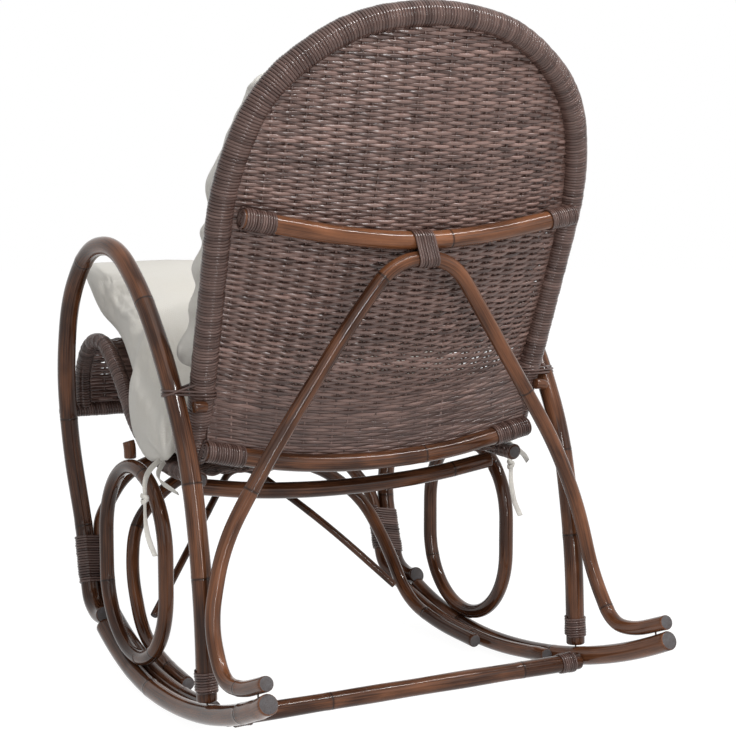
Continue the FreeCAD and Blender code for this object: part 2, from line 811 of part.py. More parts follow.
def build_back():
    """Rim with its wrapping, the woven panel and the two cross bars."""
    core = tube("back_rim", rim_wire(True), "rim_core_dia")
    nodes["back_rim"] = core
    nodes["back_rim_wrap"] = sleeve("back_rim_wrap", rim_wire(False), core, "rim_core_dia")
    build_back_weave()

    middle = upper_bar_centre()
    end_v = size("upper_bar_height")
    reach = BACK_HALF - BAR_END_INSET
    end = back_point(reach, end_v, RIM_R + size("bar_dia") / 2 + GAP)
    behind = size("back_weave_thick") + size("bar_dia") / 2 + SHOULDER_CLEAR
    half_way = reach / 2
    shoulder = back_point(half_way, end_v - 0.75 * size("bar_bow"), bulge_depth(half_way) + behind)
    half = [end, shoulder, middle + X_WAY * (0.15 * reach)]
    nodes["upper_back_bar"] = tube("upper_back_bar", bent_wire(mirrored(half)), "bar_dia")

    foot = rim_feet()[0]
    reach = foot.x + 5 * GAP
    lean = (lower_bar_height() - foot.z) * math.tan(RECLINE)
    behind = foot.y + lean + (size("rim_core_dia") / math.cos(RECLINE) + size("bar_dia")) / 2 + 2 * GAP
    half = [Vector(out * reach, behind - forward, lower_bar_height() - down)
            for out, forward, down in LOWER_BAR_BOW]
    nodes["lower_back_bar"] = tube("lower_back_bar", bent_wire(mirrored(half)), "bar_dia")


def bulge_section():
    """Thin curved strip across the back, where the woven panel is deepest, with a rib at each stake."""
    half_thick = size("back_weave_thick") / 2
    radius = size("back_bulge_across") + half_thick
    deep = bulge_depth() + half_thick
    pitch = size("stake_pitch")
    reach = math.ceil(BACK_HALF / pitch)

    def spot(place, out):
        angle = place * pitch / radius
        n = deep - radius + (radius + out) * math.cos(angle)
        return back_point((radius + out) * math.sin(angle), size("back_bulge_height"), n)

    low, high = RIB_VALLEY * half_thick, RIB_CREST * half_thick

    def rib_arc(rib, side):
        return Part.Arc(spot(rib - 0.5, side * low), spot(rib, side * high), spot(rib + 0.5, side * low))

    ribs = [rib_arc(rib, side).toShape() for side in (1, -1) for rib in range(-reach, reach + 1)]
    ends = [Part.LineSegment(spot(place, -low), spot(place, low)).toShape()
            for place in (-reach - 0.5, reach + 0.5)]
    return Part.Face(Part.Wire(Part.sortEdges(ribs + ends)[0]))


def build_back_weave():
    """Woven back: the rim's inner outline cut from a shallow bulged shell, with tie slots."""
    clear = RIM_R + GAP
    bends = [back_point(u, v, WEAVE_FRONT) for u, v in rim_outline(clear)]
    low_v = (lower_bar_height() - size("back_base_height")) / math.cos(RECLINE) - WEAVE_BELOW_BAR
    foot_u = rim_feet()[0].x - size("rim_core_dia") / 2 - GAP
    half = [back_point(foot_u, low_v, WEAVE_FRONT)] + bends[:-1]
    rim = bent_wire(half + [bends[-1]] + [Vector(-p.x, p.y, p.z) for p in reversed(half)])
    ends = [rim.OrderedVertexes[-1].Point, rim.OrderedVertexes[0].Point]
    outline = Part.Wire(rim.OrderedEdges + [Part.LineSegment(*ends).toShape()])
    block = doc.addObject("Part::Feature", "back_weave_outline")
    block.Shape = Part.Face(outline).extrude(BACK_NORMAL * WEAVE_DEEP)

    panel_section = doc.addObject("Part::Feature", "back_bulge_section")
    panel_section.Shape = bulge_section()
    shell = doc.addObject("Part::Revolution", "back_bulge_shell")
    shell.Source = panel_section
    shell.Axis = X_WAY
    shell.Base = back_point(0, size("back_bulge_height"), bulge_depth() - size("back_bulge_along"))
    shell.Angle = 2 * math.degrees(2 * size("back_length") / size("back_bulge_along"))
    shell.Symmetric = True
    shell.Solid = True
    panel = doc.addObject("Part::Common", "back_weave_whole")
    panel.Base = block
    panel.Tool = shell
    doc.recompute()
    slots = [tie_slot(side, sign) for side, sign in SIDES]
    nodes["back_weave"] = cut("back_weave", panel, group("tie_slots", slots))


def tie_slot(side, sign):
    """Block that opens the woven back for the arm tie's turns round the rim."""
    slot = doc.addObject("Part::Box", side + "_tie_slot")
    slot.setExpression("Height", "6 * (dims.strand_dia + dims.strand_gap)")
    slot.setExpression("Length", "4 * dims.strand_dia + 8 * dims.joint_gap")
    slot.setExpression("Width", "2 * dims.rim_core_dia")
    doc.recompute()
    half = Vector(slot.Length.Value, slot.Width.Value, slot.Height.Value) * 0.5
    centre = tie_rim(sign) - X_WAY * (sign * (RIM_R + STRAND))
    slot.Placement = Placement(centre - half, Rotation())
    return slot


def tie_height():
    """Height of the arm ties, at the lower end of the rim's wrapping."""
    return back_point(0, rim_outline()[0][1]).z + TIE_RISE


def tie_rim(sign):
    """Centre of the rim at the height of the arm tie."""
    rise = tie_height() - BACK_BASE.z
    return Vector(sign * rim_outline()[0][0], BACK_BASE.y + rise * math.tan(RECLINE), tie_height())


def build_pegs():
    """Short pegs that hold the rim's lower ends off the hoops' rear legs."""
    rim_end = back_point(0, rim_outline()[0][1])
    height = rim_end.z - PEG_DROP
    depth = rim_end.y - PEG_FORWARD + (size("rim_core_dia") + size("peg_dia")) / 2 + PEG_CLEAR
    for side, sign in SIDES:
        outer = abs(leg_point(sign, height).x) - size("hoop_dia") / 2 - 3 * GAP
        inner = rim_feet()[0].x + 2 * size("wrap_wall")
        wire = straight_wire(Vector(sign * outer, depth, height), Vector(sign * inner, depth, height))
        nodes[side + "_peg"] = tube(side + "_peg", wire, "peg_dia")


# Lashings: turns, and distance of each winding's middle from the pole's end

FORK_TURNS, LEG_TURNS, CROSSBAR_TURNS = 14, 8, 7
UPPER_TURNS, LOWER_TURNS, ARM_TURNS, BRACE_TURNS = 9, 8, 2, 7
LEG_INSET, CROSSBAR_INSET, UPPER_INSET, LOWER_INSET = 30.0, 24.0, 26.0, 40.0


def build_lashings():
    """Cane windings at the visible joints."""
    fork, legs, bars, upper, lower, arm = [], [], [], [], [], []
    for end, (side, sign) in zip(crossbar_ends(), SIDES):
        bends = hoop_points(sign)
        low, high = bends[1:3]
        step = Vector(-sign * FORK_STEP, 0, 0)
        centre = (low + high + step) * 0.5
        fork.append((centre, high - low, step, FORK_STEP / 2, winding_radius("hoop_dia"), FORK_TURNS))

        up = (bends[-2] - bends[-1]).normalize()
        legs.append((bends[-1] + up * LEG_INSET, up, X_WAY, 0, winding_radius("hoop_dia"), LEG_TURNS))

        middle = end - X_WAY * (sign * CROSSBAR_INSET)
        bars.append((middle, X_WAY, Z_WAY, 0, winding_radius("crossbar_dia"), CROSSBAR_TURNS))

        upper.append(bar_winding("upper_back_bar", sign, UPPER_INSET, UPPER_TURNS))
        lower.append(bar_winding("lower_back_bar", sign, LOWER_INSET, LOWER_TURNS))

        leg = leg_point(sign, tie_height())
        span = tie_rim(sign) - leg
        around = RIM_R + STRAND / 2 + 5 * GAP
        arm.append((leg + span * 0.5, Z_WAY, span, span.Length / 2, around, ARM_TURNS))
    lashing("fork_lashings", fork)
    lashing("rear_leg_lashings", legs)
    lashing("crossbar_lashings", bars)
    lashing("upper_bar_lashings", upper)
    lashing("lower_bar_lashings", lower)
    lashing("arm_ties", arm)

    step = brace_step()
    centre = upper_bar_centre() + step * 0.5
    lashing("brace_tie", [
        (centre, X_WAY, step, step.Length / 2, winding_radius("bar_dia"), BRACE_TURNS)])


def bar_winding(bar, sign, inset, turns):
    """Winding near one end of a bent bar."""
    edges = nodes[bar].Spine[0].Shape.OrderedEdges
    edge = edges[0] if sign > 0 else edges[-1]
    spot = edge.FirstParameter if sign > 0 else edge.LastParameter
    way = edge.tangentAt(spot) * sign
    return (edge.valueAt(spot) + way * inset, way, Z_WAY, 0, winding_radius("bar_dia"), turns)


# Cushions and ties

# Stations along the seat's profile and up the back: place, share of thickness, share of width
SEAT_CUSHION_STATIONS = (
    (13, 0.72, 0.95), (24, 0.98, 0.99), (40, 1.0, 1.0), (58, 1.0, 0.95),
    (76, 0.85, 0.905), (92, 0.69, 0.9), (98, 0.46, 0.88),
)
# The seat cushion's front end stands clear of the scroll: beyond it, and above the seat's front
CUSHION_REACH, CUSHION_LIFT = 13.0, 54.0
BACK_CUSHION_STATIONS = (
    (-0.06, 0.8), (0.12, 1.0), (0.4, 1.04), (0.68, 1.0), (0.87, 0.92), (0.975, 0.6),
)
CUSHION_TUCK = 14.0
CUSHION_EDGE = 0.86


def cushion_section(origin, up, half, thick):
    """Closed section of a cushion: flat base, rounded sides drawn in, crowned top."""
    def spot(x, z):
        return origin + X_WAY * x + up * z

    tucked = half - min(CUSHION_TUCK, half / 4)
    edge = CUSHION_EDGE * thick
    low_right, low_left = spot(tucked, 0), spot(-tucked, 0)
    high_right, high_left = spot(tucked, edge), spot(-tucked, edge)
    return Part.Wire([
        Part.LineSegment(low_left, low_right).toShape(),
        Part.Arc(low_right, spot(half, edge / 2), high_right).toShape(),
        Part.Arc(high_right, spot(0, thick), high_left).toShape(),
        Part.Arc(high_left, spot(-half, edge / 2), low_left).toShape(),
    ])


def cushion(label, sections):
    """Crowned cushion lofted through its sections."""
    body = doc.addObject("Part::Feature", label)
    body.Shape = Part.makeLoft(sections, True, False)
    nodes[label] = body


def build_cushions():
    """Thick seat cushion that follows the seat, and a back cushion inside the rim."""
    half = SEAT_HALF + size("seat_cushion_overhang")
    thick = size("seat_cushion_thick")
    tip = Vector(0, SEAT_FRONT - CUSHION_REACH, size("seat_front_height") + CUSHION_LIFT)
    points = bent_wire(profile_points()[:len(SEAT_BENDS) - 1] + [tip]).discretize(Number=101)
    sections = []
    for place, height, width in SEAT_CUSHION_STATIONS:
        way = (points[place + 1] - points[place - 1]).normalize()
        up = way.cross(X_WAY)
        base = points[place] + up * (RAIL_R + 3 * GAP)
        sections.append(cushion_section(base, up, half * width, thick * height))
    cushion("seat_cushion", sections)

    half = BACK_HALF - size("back_cushion_inset")
    top = size("back_length") - size("back_cushion_inset")
    thick = size("back_cushion_thick")
    shoulder = RIM_SHOULDER * size("back_length")
    sections = []
    for share, height in BACK_CUSHION_STATIONS:
        v = share * top
        rise = max(0.0, (v - shoulder) / (top - shoulder))
        width = half * math.sqrt(1 - rise ** 2)
        base = back_point(0, v, -RIM_R - GAP)
        sections.append(cushion_section(base, BACK_NORMAL * -1, width, thick * height))
    cushion("back_cushion", sections)


# Routes of the left ties from their seams on the seat cushion's edge; the right ties mirror them
TIE_OUT, TIE_BEFORE, TIE_ABOVE = 19.0, 96.0, 17.0
TIE_SEAM = Vector(SEAT_HALF + TIE_OUT, SEAT_REAR - TIE_BEFORE, size("seat_rear_height") + TIE_ABOVE)
LONG_TIE = ((0, 0, 0), (14, 3, -7), (27, 6, -24), (30, 14, -50), (30, 13, -72), (30, 17, -93),
            (29, 27, -113), (28, 44, -128))
SHORT_TIE = ((0, 16, 0), (10, 21, -7), (19, 33, -18), (20, 52, -24), (17, 71, -28), (11, 87, -34))
KNOT = (30, 13, -51)


def tie_spot(sign, offset):
    """Point of a tie on one side."""
    spot = TIE_SEAM + Vector(*offset)
    return Vector(sign * spot.x, spot.y, spot.z)


def build_ties():
    """Cotton tapes sewn to the seat cushion's edges, with a knot in each long one."""
    knots = []
    for side, sign in SIDES:
        for name, route in (("long", LONG_TIE), ("short", SHORT_TIE)):
            label = "%s_tie_%s" % (side, name)
            wire = bent_wire([tie_spot(sign, offset) for offset in route])
            nodes[label] = tube(label, wire, "tie_dia")
            radii = [edge.Curve.Radius for edge in wire.Edges if hasattr(edge.Curve, "Radius")]
            area = math.pi * size("tie_dia") ** 2 / 4
            print("%s: length %.0f mm, least radius %.1f mm, volume share %.4f"
                  % (label, wire.Length, min(radii), nodes[label].Shape.Volume / (area * wire.Length)))
        ball = doc.addObject("Part::Sphere", side + "_knot_ball")
        ball.setExpression("Radius", "1.8 * dims.tie_dia")
        ball.Placement = Placement(tie_spot(sign, KNOT), Rotation())
        doc.recompute()
        knots.append(cut(side + "_knot", ball, nodes[side + "_tie_long"]))
    nodes["tie_knots"] = group("tie_knots", knots)


def main():
    """Build every node of the chair in the order that its joints need."""
    build_side_frames()
    build_arches()
    build_crossbar()
    build_seat()
    build_back()
    build_brace()
    build_pegs()
    build_lashings()
    build_cushions()
    build_ties()
    nodes["splice_dowels"] = group("splice_dowels", dowels)
    nodes["frame_nails"] = group("frame_nails", nails)


main()
doc.recompute()
for item in doc.Objects:
    failed = [state for state in item.State if state in ("Invalid", "Error")]
    if failed:
        raise RuntimeError("%s is %s" % (item.Label, failed))
os.makedirs("parts", exist_ok=True)
for label, item in nodes.items():
    if item.Shape.isNull() or not item.Shape.isValid():
        raise RuntimeError("%s has no valid shape" % label)
    item.Shape.exportStep("parts/%s.step" % label)
print(len(nodes), "nodes written")
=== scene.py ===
import math

import bpy
import numpy as np
from bpy.props import FloatProperty, FloatVectorProperty, IntProperty, PointerProperty
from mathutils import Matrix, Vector, noise
from mathutils.bvhtree import BVHTree


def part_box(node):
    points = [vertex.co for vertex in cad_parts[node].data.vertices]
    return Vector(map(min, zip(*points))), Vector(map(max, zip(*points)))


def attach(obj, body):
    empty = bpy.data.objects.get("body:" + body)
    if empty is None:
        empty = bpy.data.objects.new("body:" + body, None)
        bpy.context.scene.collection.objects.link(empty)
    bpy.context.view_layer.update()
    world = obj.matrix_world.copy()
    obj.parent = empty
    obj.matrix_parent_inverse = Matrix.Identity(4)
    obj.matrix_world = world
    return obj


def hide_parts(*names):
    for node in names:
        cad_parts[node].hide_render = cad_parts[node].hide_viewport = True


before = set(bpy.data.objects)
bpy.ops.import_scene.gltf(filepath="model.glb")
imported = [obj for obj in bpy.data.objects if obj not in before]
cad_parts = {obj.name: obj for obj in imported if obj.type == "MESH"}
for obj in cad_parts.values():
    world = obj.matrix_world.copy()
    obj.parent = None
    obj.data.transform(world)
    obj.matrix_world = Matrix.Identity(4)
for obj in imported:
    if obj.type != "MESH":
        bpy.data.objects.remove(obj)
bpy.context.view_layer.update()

bl_info = {
    "name": "Rattan Rocking Chair",
    "version": (1, 0, 0),
    "blender": (4, 5, 0),
    "location": "View3D > Sidebar > Rocking Chair",
    "description": "Dresses the chair's frame with rattan poles, cane weave, lashings and cushions",
    "category": "Object",
}

SIDES = (("left", 1), ("right", -1))
X_WAY = np.array((1.0, 0.0, 0.0))
Z_WAY = np.array((0.0, 0.0, 1.0))


# Sizes and colours that a user would change

def colour_property(name, description, default):
    """Colour with its alpha."""
    return FloatVectorProperty(name=name, description=description, subtype="COLOR", size=4,
                               default=default)


def place_property(name, description, default):
    """Point in the frame."""
    return FloatVectorProperty(name=name, description=description, subtype="TRANSLATION",
                               default=default)


def length_property(name, description, default):
    """Length in metres."""
    return FloatProperty(name=name, description=description, default=default, unit="LENGTH")


class PoleFinish(bpy.types.PropertyGroup):
    """Rattan poles and their lacquer."""
    dark: colour_property("Dark lacquer", "Colour of the darker lengths",
                          (0.034, 0.0125, 0.0060, 1.0))
    light: colour_property("Light lacquer", "Colour of the golden lengths",
                           (0.205, 0.080, 0.036, 1.0))
    joint_spacing: length_property("Joint spacing", "Mean length between a pole's joints", 0.30)
    joint_swell: FloatProperty(
        name="Joint swell", description="Rise of a joint as a share of the pole's radius",
        default=0.03, subtype="FACTOR")


class CaneSizes(bpy.types.PropertyGroup):
    """Woven and wound cane."""
    stake_pitch: length_property("Stake pitch", "Distance between the stakes of the weave", 0.0225)
    row_pitch: length_property("Row pitch", "Distance between the weave's rows", 0.0046)
    weaver: length_property("Weaver width", "Width of a weaver", 0.0063)
    wrap_pitch: length_property("Wrap pitch", "Distance between the turns of the wrapping", 0.0043)
    dark: colour_property("Dark cane", "Colour of the darker cane", (0.045, 0.022, 0.017, 1.0))
    light: colour_property("Light cane", "Colour of the worn cane", (0.256, 0.158, 0.133, 1.0))


class CushionFill(bpy.types.PropertyGroup):
    """Cotton cushions."""
    cover: colour_property("Cover", "Colour of the cotton cover", (0.69, 0.67, 0.625, 1.0))
    pressure: FloatProperty(
        name="Pressure", description="Stuffing pressure of the simulation", default=4.0)
    voxel: length_property("Voxel", "Cell of the cushions' mesh", 0.006)
    frames: IntProperty(name="Frames", description="Last frame of the simulation", default=18)


class StudioSetup(bpy.types.PropertyGroup):
    """Camera and light."""
    camera: place_property("Camera", "Place of the camera", (1.27182, 2.35094, 0.75197))
    target: place_property("Target", "Point that the camera looks at", (0.0, 0.103, 0.4766))
    lens: FloatProperty(name="Lens", description="Focal length in millimetres", default=88.04)
    key: FloatProperty(name="Strip lights", description="Power of each narrow strip light",
                       default=30.0, unit="POWER")
    fill: FloatProperty(name="Fill light", description="Power of the fill light",
                        default=9.0, unit="POWER")
    world: FloatProperty(name="World", description="Strength of the surrounding light",
                         default=0.42)


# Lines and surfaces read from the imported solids

LINES = {}
LINE_STEP = 0.006     # distance between the points of a pole's line
FELT_FACES = 160      # largest faces whose far wall is felt for the radius
OUT_OF_POLE = 2.2     # a spoke longer than this many radii has left the pole
BESIDE_BORE = 0.78    # share of the radius at which the wall beside a bore is felt
MOST_STEPS = 900
LEAST_LOOP = 20       # steps before a line may close on itself


def solid_tree(node):
    """Tree of a node's triangles, for rays, and its mesh."""
    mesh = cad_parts[node].data
    mesh.calc_loop_triangles()
    points = [vertex.co.copy() for vertex in mesh.vertices]
    faces = [tuple(triangle.vertices) for triangle in mesh.loop_triangles]
    return BVHTree.FromPolygons(points, faces), mesh


def spokes(way, count, sweep):
    """Directions square to a way, spread evenly over a sweep."""
    first = way.orthogonal().normalized()
    second = way.cross(first)
    turns = np.arange(count) * sweep / count
    return [first * math.cos(turn) + second * math.sin(turn) for turn in turns]


def pole_line(node):
    """Centre line, radius and closure of a pole, felt out from inside its solid."""
    if node in LINES:
        return LINES[node]
    tree, mesh = solid_tree(node)

    def reach(spot, way):
        distance = tree.ray_cast(spot, way)[3]
        return 1.0 if distance is None else distance

    walls = []
    for triangle in sorted(mesh.loop_triangles, key=lambda item: -item.area)[:FELT_FACES]:
        normal = Vector(triangle.normal)
        inside = triangle.center - normal * 1e-5
        walls.append((reach(inside, -normal), triangle.center.copy(), normal))
    radius = float(np.median([item[0] for item in walls])) / 2
    _, spot, normal = min(walls, key=lambda item: abs(item[0] / 2 - radius))
    start = spot - normal * radius
    way = max(spokes(normal, 48, math.pi),
              key=lambda item: reach(start, item) + reach(start, -item))

    def centred(spot, way):
        around = spokes(way, 6, math.pi)
        for _ in range(3):
            shift = Vector()
            for spoke in around:
                ahead, behind = reach(spot, spoke), reach(spot, -spoke)
                if max(ahead, behind) < OUT_OF_POLE * radius:
                    shift += spoke * (ahead - behind) / 2
            spot = spot + shift / 3
        return spot

    start = centred(start, way)

    def past_bore(line, spot, way):
        """Carry the line on beside a dowel's bore to the pole's true end."""
        around = [spot + spoke * BESIDE_BORE * radius for spoke in spokes(way, 8, 2 * math.pi)]
        left = float(np.median([reach(beside, way) for beside in around]))
        bend = None
        if len(line) > 8:
            bend = (line[-4] - line[-8]).normalized().rotation_difference(way)
        while left > 1e-4:
            if bend is not None:
                way = way.lerp(bend @ way, 0.2).normalized()
            spot = spot + way * min(left, LINE_STEP)
            line.append(spot)
            left -= LINE_STEP
        return line

    def walk(way):
        spot, line = start, []
        while True:
            if reach(spot, way) < 1.5 * LINE_STEP or len(line) > MOST_STEPS:
                return past_bore(line, spot, way), False
            moved = centred(spot + way * LINE_STEP, way)
            way = (moved - spot).normalized()
            spot = moved
            line.append(spot)
            if len(line) > LEAST_LOOP and (spot - start).length < 0.8 * LINE_STEP:
                return line, True

    line, closed = walk(way)
    if not closed:
        line = walk(-way)[0][::-1] + [start] + line
    line = np.array([tuple(point) for point in line])
    for _ in range(2):
        if closed:
            line = (np.roll(line, 1, 0) + 2 * line + np.roll(line, -1, 0)) / 4
        else:
            line[1:-1] = (line[:-2] + 2 * line[1:-1] + line[2:]) / 4
    LINES[node] = (line, radius, closed)
    return LINES[node]


def rail_line(node):
    """A seat rail's line, from the rear corner to the front scroll."""
    line = pole_line(node)[0]
    return line if line[0, 1] > line[-1, 1] else line[::-1]


def lengths(line):
    """Distance along a line to each of its points."""
    return np.concatenate(([0.0], np.cumsum(np.linalg.norm(np.diff(line, axis=0), axis=1))))


def at_lengths(line, places, vectors=None):
    """Points of a line, or vectors given along it, at distances along the line."""
    along = lengths(line)
    vectors = line if vectors is None else vectors
    return np.stack([np.interp(places, along, vectors[:, axis]) for axis in range(3)], 1)


def nearest(line, spot):
    """Number of a line's point nearest a spot."""
    return int(np.argmin(np.linalg.norm(line - spot, axis=1)))


def covered(line, node, slack):
    """Numbers of the points of a line in space, or of a side profile, inside a node's box."""
    low, high = (np.array(corner)[-line.shape[1]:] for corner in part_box(node))
    return np.nonzero(np.all((line > low - slack) & (line < high + slack), axis=1))[0]


def unit(vectors):
    """Vectors at length one."""
    return vectors / np.maximum(np.linalg.norm(vectors, axis=-1, keepdims=True), 1e-12)


def square_to(vectors, ways):
    """Vectors made square to unit ways."""
    return unit(vectors - ways * np.sum(vectors * ways, axis=1)[:, None])


def transported(line, closed=False):
    """Tangents and two steady cross directions along a line."""
    if closed:
        tangents = unit(np.roll(line, -1, 0) - np.roll(line, 1, 0))
    else:
        tangents = unit(np.gradient(line, axis=0))
    across = np.zeros_like(line)
    guide = X_WAY if abs(tangents[0][0]) < 0.8 else Z_WAY
    current = unit(guide - tangents[0] * (guide @ tangents[0]))
    for index, tangent in enumerate(tangents):
        current = unit(current - tangent * (current @ tangent))
        across[index] = current
    return tangents, across, np.cross(tangents, across)


def smooth_step(low, high, value):
    """Soft step from 0 at low to 1 at high."""
    share = np.clip((value - low) / (high - low), 0, 1)
    return share * share * (3 - 2 * share)


def between(low, full, ebb, high, value):
    """Soft step from 0 at low to 1 at full, and back from ebb to 0 at high."""
    return smooth_step(low, full, value) * (1 - smooth_step(ebb, high, value))


# Swept meshes

def linked(name, data):
    """New object in the scene."""
    made = bpy.data.objects.new(name, data)
    bpy.context.scene.collection.objects.link(made)
    return made


class Skein:
    """Gathers swept strands into one mesh with grain coordinates."""

    def __init__(self):
        self.points, self.faces, self.kinds = [], [], []
        self.lay, self.tone, self.joint = [], [], []
        self.count, self.strands = 0, 0

    def add(self, line, across, out, half_wide, half_thick, sections=6, closed=False,
            tone=0.5, joint=0.0, cap_kind=0):
        """Sweep an oval along a line; tone and joint are numbers or one number per point."""
        number = len(line)
        turns = np.arange(sections) * 2 * math.pi / sections
        wide = np.broadcast_to(half_wide, number)[:, None] * np.cos(turns)
        thick = np.broadcast_to(half_thick, number)[:, None] * np.sin(turns)
        points = line[:, None] + across[:, None] * wide[..., None] + out[:, None] * thick[..., None]
        along = lengths(line) + 3.7 * self.strands
        lay = np.stack([np.broadcast_to(along[:, None], wide.shape), wide, thick], -1)
        row = np.arange(number if closed else number - 1)[:, None]
        column = np.arange(sections)[None]
        following = (column + 1) % sections
        onward = (row + 1) % number
        quads = np.stack([row * sections + column, row * sections + following,
                          onward * sections + following, onward * sections + column], -1)
        faces = [quads.reshape(-1, 4)]
        kinds = [np.zeros(len(faces[0]), int)]
        if not closed:
            steps = np.arange(sections // 2 - 1)
            cap = np.stack([steps, steps + 1, sections - 2 - steps, sections - 1 - steps], -1)
            faces += [cap[:, ::-1], cap + (number - 1) * sections]
            kinds.append(np.full(2 * len(cap), cap_kind))
        self.points.append(points.reshape(-1, 3))
        self.faces.append(np.concatenate(faces) + self.count)
        self.kinds += kinds
        self.lay.append(lay.reshape(-1, 3))
        for store, value in ((self.tone, tone), (self.joint, joint)):
            store.append(np.repeat(np.broadcast_to(value, number), sections))
        self.count += number * sections
        self.strands += 1

    def piece(self, name, materials, slot, *nodes):
        """Make the object, set it on the frame and let it stand for CAD nodes."""
        mesh = bpy.data.meshes.new(name)
        points = np.concatenate(self.points)
        faces = np.concatenate(self.faces)
        mesh.vertices.add(len(points))
        mesh.vertices.foreach_set("co", points.astype(np.float32).ravel())
        mesh.loops.add(faces.size)
        mesh.loops.foreach_set("vertex_index", faces.astype(np.int32).ravel())
        mesh.polygons.add(len(faces))
        mesh.polygons.foreach_set("loop_start", np.arange(0, faces.size, 4, dtype=np.int32))
        mesh.polygons.foreach_set("material_index", np.concatenate(self.kinds).astype(np.int32))
        mesh.update(calc_edges=True)
        lay = mesh.attributes.new("lay", "FLOAT_VECTOR", "POINT")
        lay.data.foreach_set("vector", np.concatenate(self.lay).astype(np.float32).ravel())
        for label, values in (("tone", self.tone), ("joint", self.joint)):
            attribute = mesh.attributes.new(label, "FLOAT", "POINT")
            attribute.data.foreach_set("value", np.concatenate(values).astype(np.float32))
        mesh.validate()
        mesh.shade_smooth()
        for material in materials:
            mesh.materials.append(material)
        return settle(linked(name, mesh), slot, *nodes)


def settle(piece, slot, *nodes):
    """Ride on the chair's body and stand for the CAD nodes; the slot is not used."""
    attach(piece, "root")
    if nodes:
        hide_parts(*nodes)
    return piece


def seeded(name):
    """Random numbers that stay the same for a name."""
    seed = sum((place + 1) * ord(letter) for place, letter in enumerate(name))
    return np.random.default_rng(seed)


# Materials

GROUPS = {}
FINISHES = {}


def add_node(tree, kind, values=None, **settings):
    """Shader node with its settings, values and links."""
    made = tree.nodes.new("ShaderNode" + kind)
    for key, value in settings.items():
        setattr(made, key, value)
    for key, value in (values or {}).items():
        socket = made.inputs[key]
        if isinstance(value, bpy.types.NodeSocket):
            tree.links.new(value, socket)
        else:
            socket.default_value = value
    return made


def mixed(tree, factor, first, second):
    """Colour mixed from two by a factor."""
    return add_node(tree, "Mix", {0: factor, 6: first, 7: second}, data_type="RGBA").outputs[2]


def maths(tree, operation, first, second):
    """Result of one maths node."""
    return add_node(tree, "Math", {0: first, 1: second}, operation=operation).outputs[0]


def ranged(tree, value, low, high, new_low=0.0, new_high=1.0):
    """Value carried from one range to another, held inside it."""
    made = add_node(tree, "MapRange", {0: value, 1: low, 2: high, 3: new_low, 4: new_high})
    return made.outputs[0]


def stretched(tree, vector, factors):
    """Vector scaled along each of its axes."""
    return add_node(tree, "VectorMath", {0: vector, 1: factors}, operation="MULTIPLY").outputs[0]


def own_place(tree):
    """Coordinates of the piece itself."""
    return add_node(tree, "TexCoord").outputs["Object"]


def clouds(tree, place, scale, detail=3.0, roughness=0.5):
    """Soft noise at a place."""
    return add_node(tree, "TexNoise", {"Vector": place, "Scale": scale, "Detail": detail,
                                       "Roughness": roughness}).outputs["Fac"]


def node_group(name, inputs, outputs):
    """Empty shader group with its sockets, and its input and output nodes."""
    group = bpy.data.node_groups.new(name, "ShaderNodeTree")
    for label, kind, value in inputs:
        socket = group.interface.new_socket(label, in_out="INPUT", socket_type="NodeSocket" + kind)
        socket.default_value = value
    for label, kind in outputs:
        group.interface.new_socket(label, in_out="OUTPUT", socket_type="NodeSocket" + kind)
    return group, group.nodes.new("NodeGroupInput"), group.nodes.new("NodeGroupOutput")


def cane_group():
    """Long fibres, joints and tone of rattan, from the grain coordinates of a swept piece."""
    group, given, out = node_group("Rattan Grain", [
        ("Dark", "Color", (0.03, 0.012, 0.008, 1)), ("Light", "Color", (0.13, 0.05, 0.025, 1)),
        ("Streaks", "Float", 0.5), ("Fibre", "Float", 900.0),
        ("Joint", "Color", (0.012, 0.006, 0.004, 1)),
    ], [("Color", "Color"), ("Dullness", "Float"), ("Height", "Float")])
    lay = add_node(group, "Attribute", attribute_name="lay").outputs["Vector"]
    tone = add_node(group, "Attribute", attribute_name="tone").outputs["Fac"]
    joint = add_node(group, "Attribute", attribute_name="joint").outputs["Fac"]
    fibre = given.outputs["Fibre"]
    stretch = add_node(group, "CombineXYZ", {0: 9.0, 1: fibre, 2: fibre}).outputs[0]
    streak = ranged(group, clouds(group, stretched(group, lay, stretch), 1.0, 3.0, 0.6), 0.36, 0.68)
    broad = stretched(group, lay, (14.0, 60.0, 60.0))
    cloud = ranged(group, clouds(group, broad, 1.0, 2.0), 0.35, 0.7)
    share = maths(group, "SUBTRACT", streak, 0.5)
    share = maths(group, "ADD", maths(group, "MULTIPLY", share, given.outputs["Streaks"]), tone)
    spread = maths(group, "MULTIPLY", maths(group, "SUBTRACT", cloud, 0.5), 0.5)
    share = ranged(group, maths(group, "ADD", share, spread), 0.0, 1.0)
    colour = mixed(group, share, given.outputs["Dark"], given.outputs["Light"])
    colour = mixed(group, maths(group, "MULTIPLY", joint, 0.9), colour, given.outputs["Joint"])
    group.links.new(colour, out.inputs["Color"])
    dull = maths(group, "ADD", cloud, maths(group, "MULTIPLY", streak, 0.6))
    dull = maths(group, "MAXIMUM", ranged(group, dull, 0.0, 1.6), joint)
    group.links.new(dull, out.inputs["Dullness"])
    height = maths(group, "ADD", streak, maths(group, "MULTIPLY", joint, -1.5))
    group.links.new(height, out.inputs["Height"])
    return group


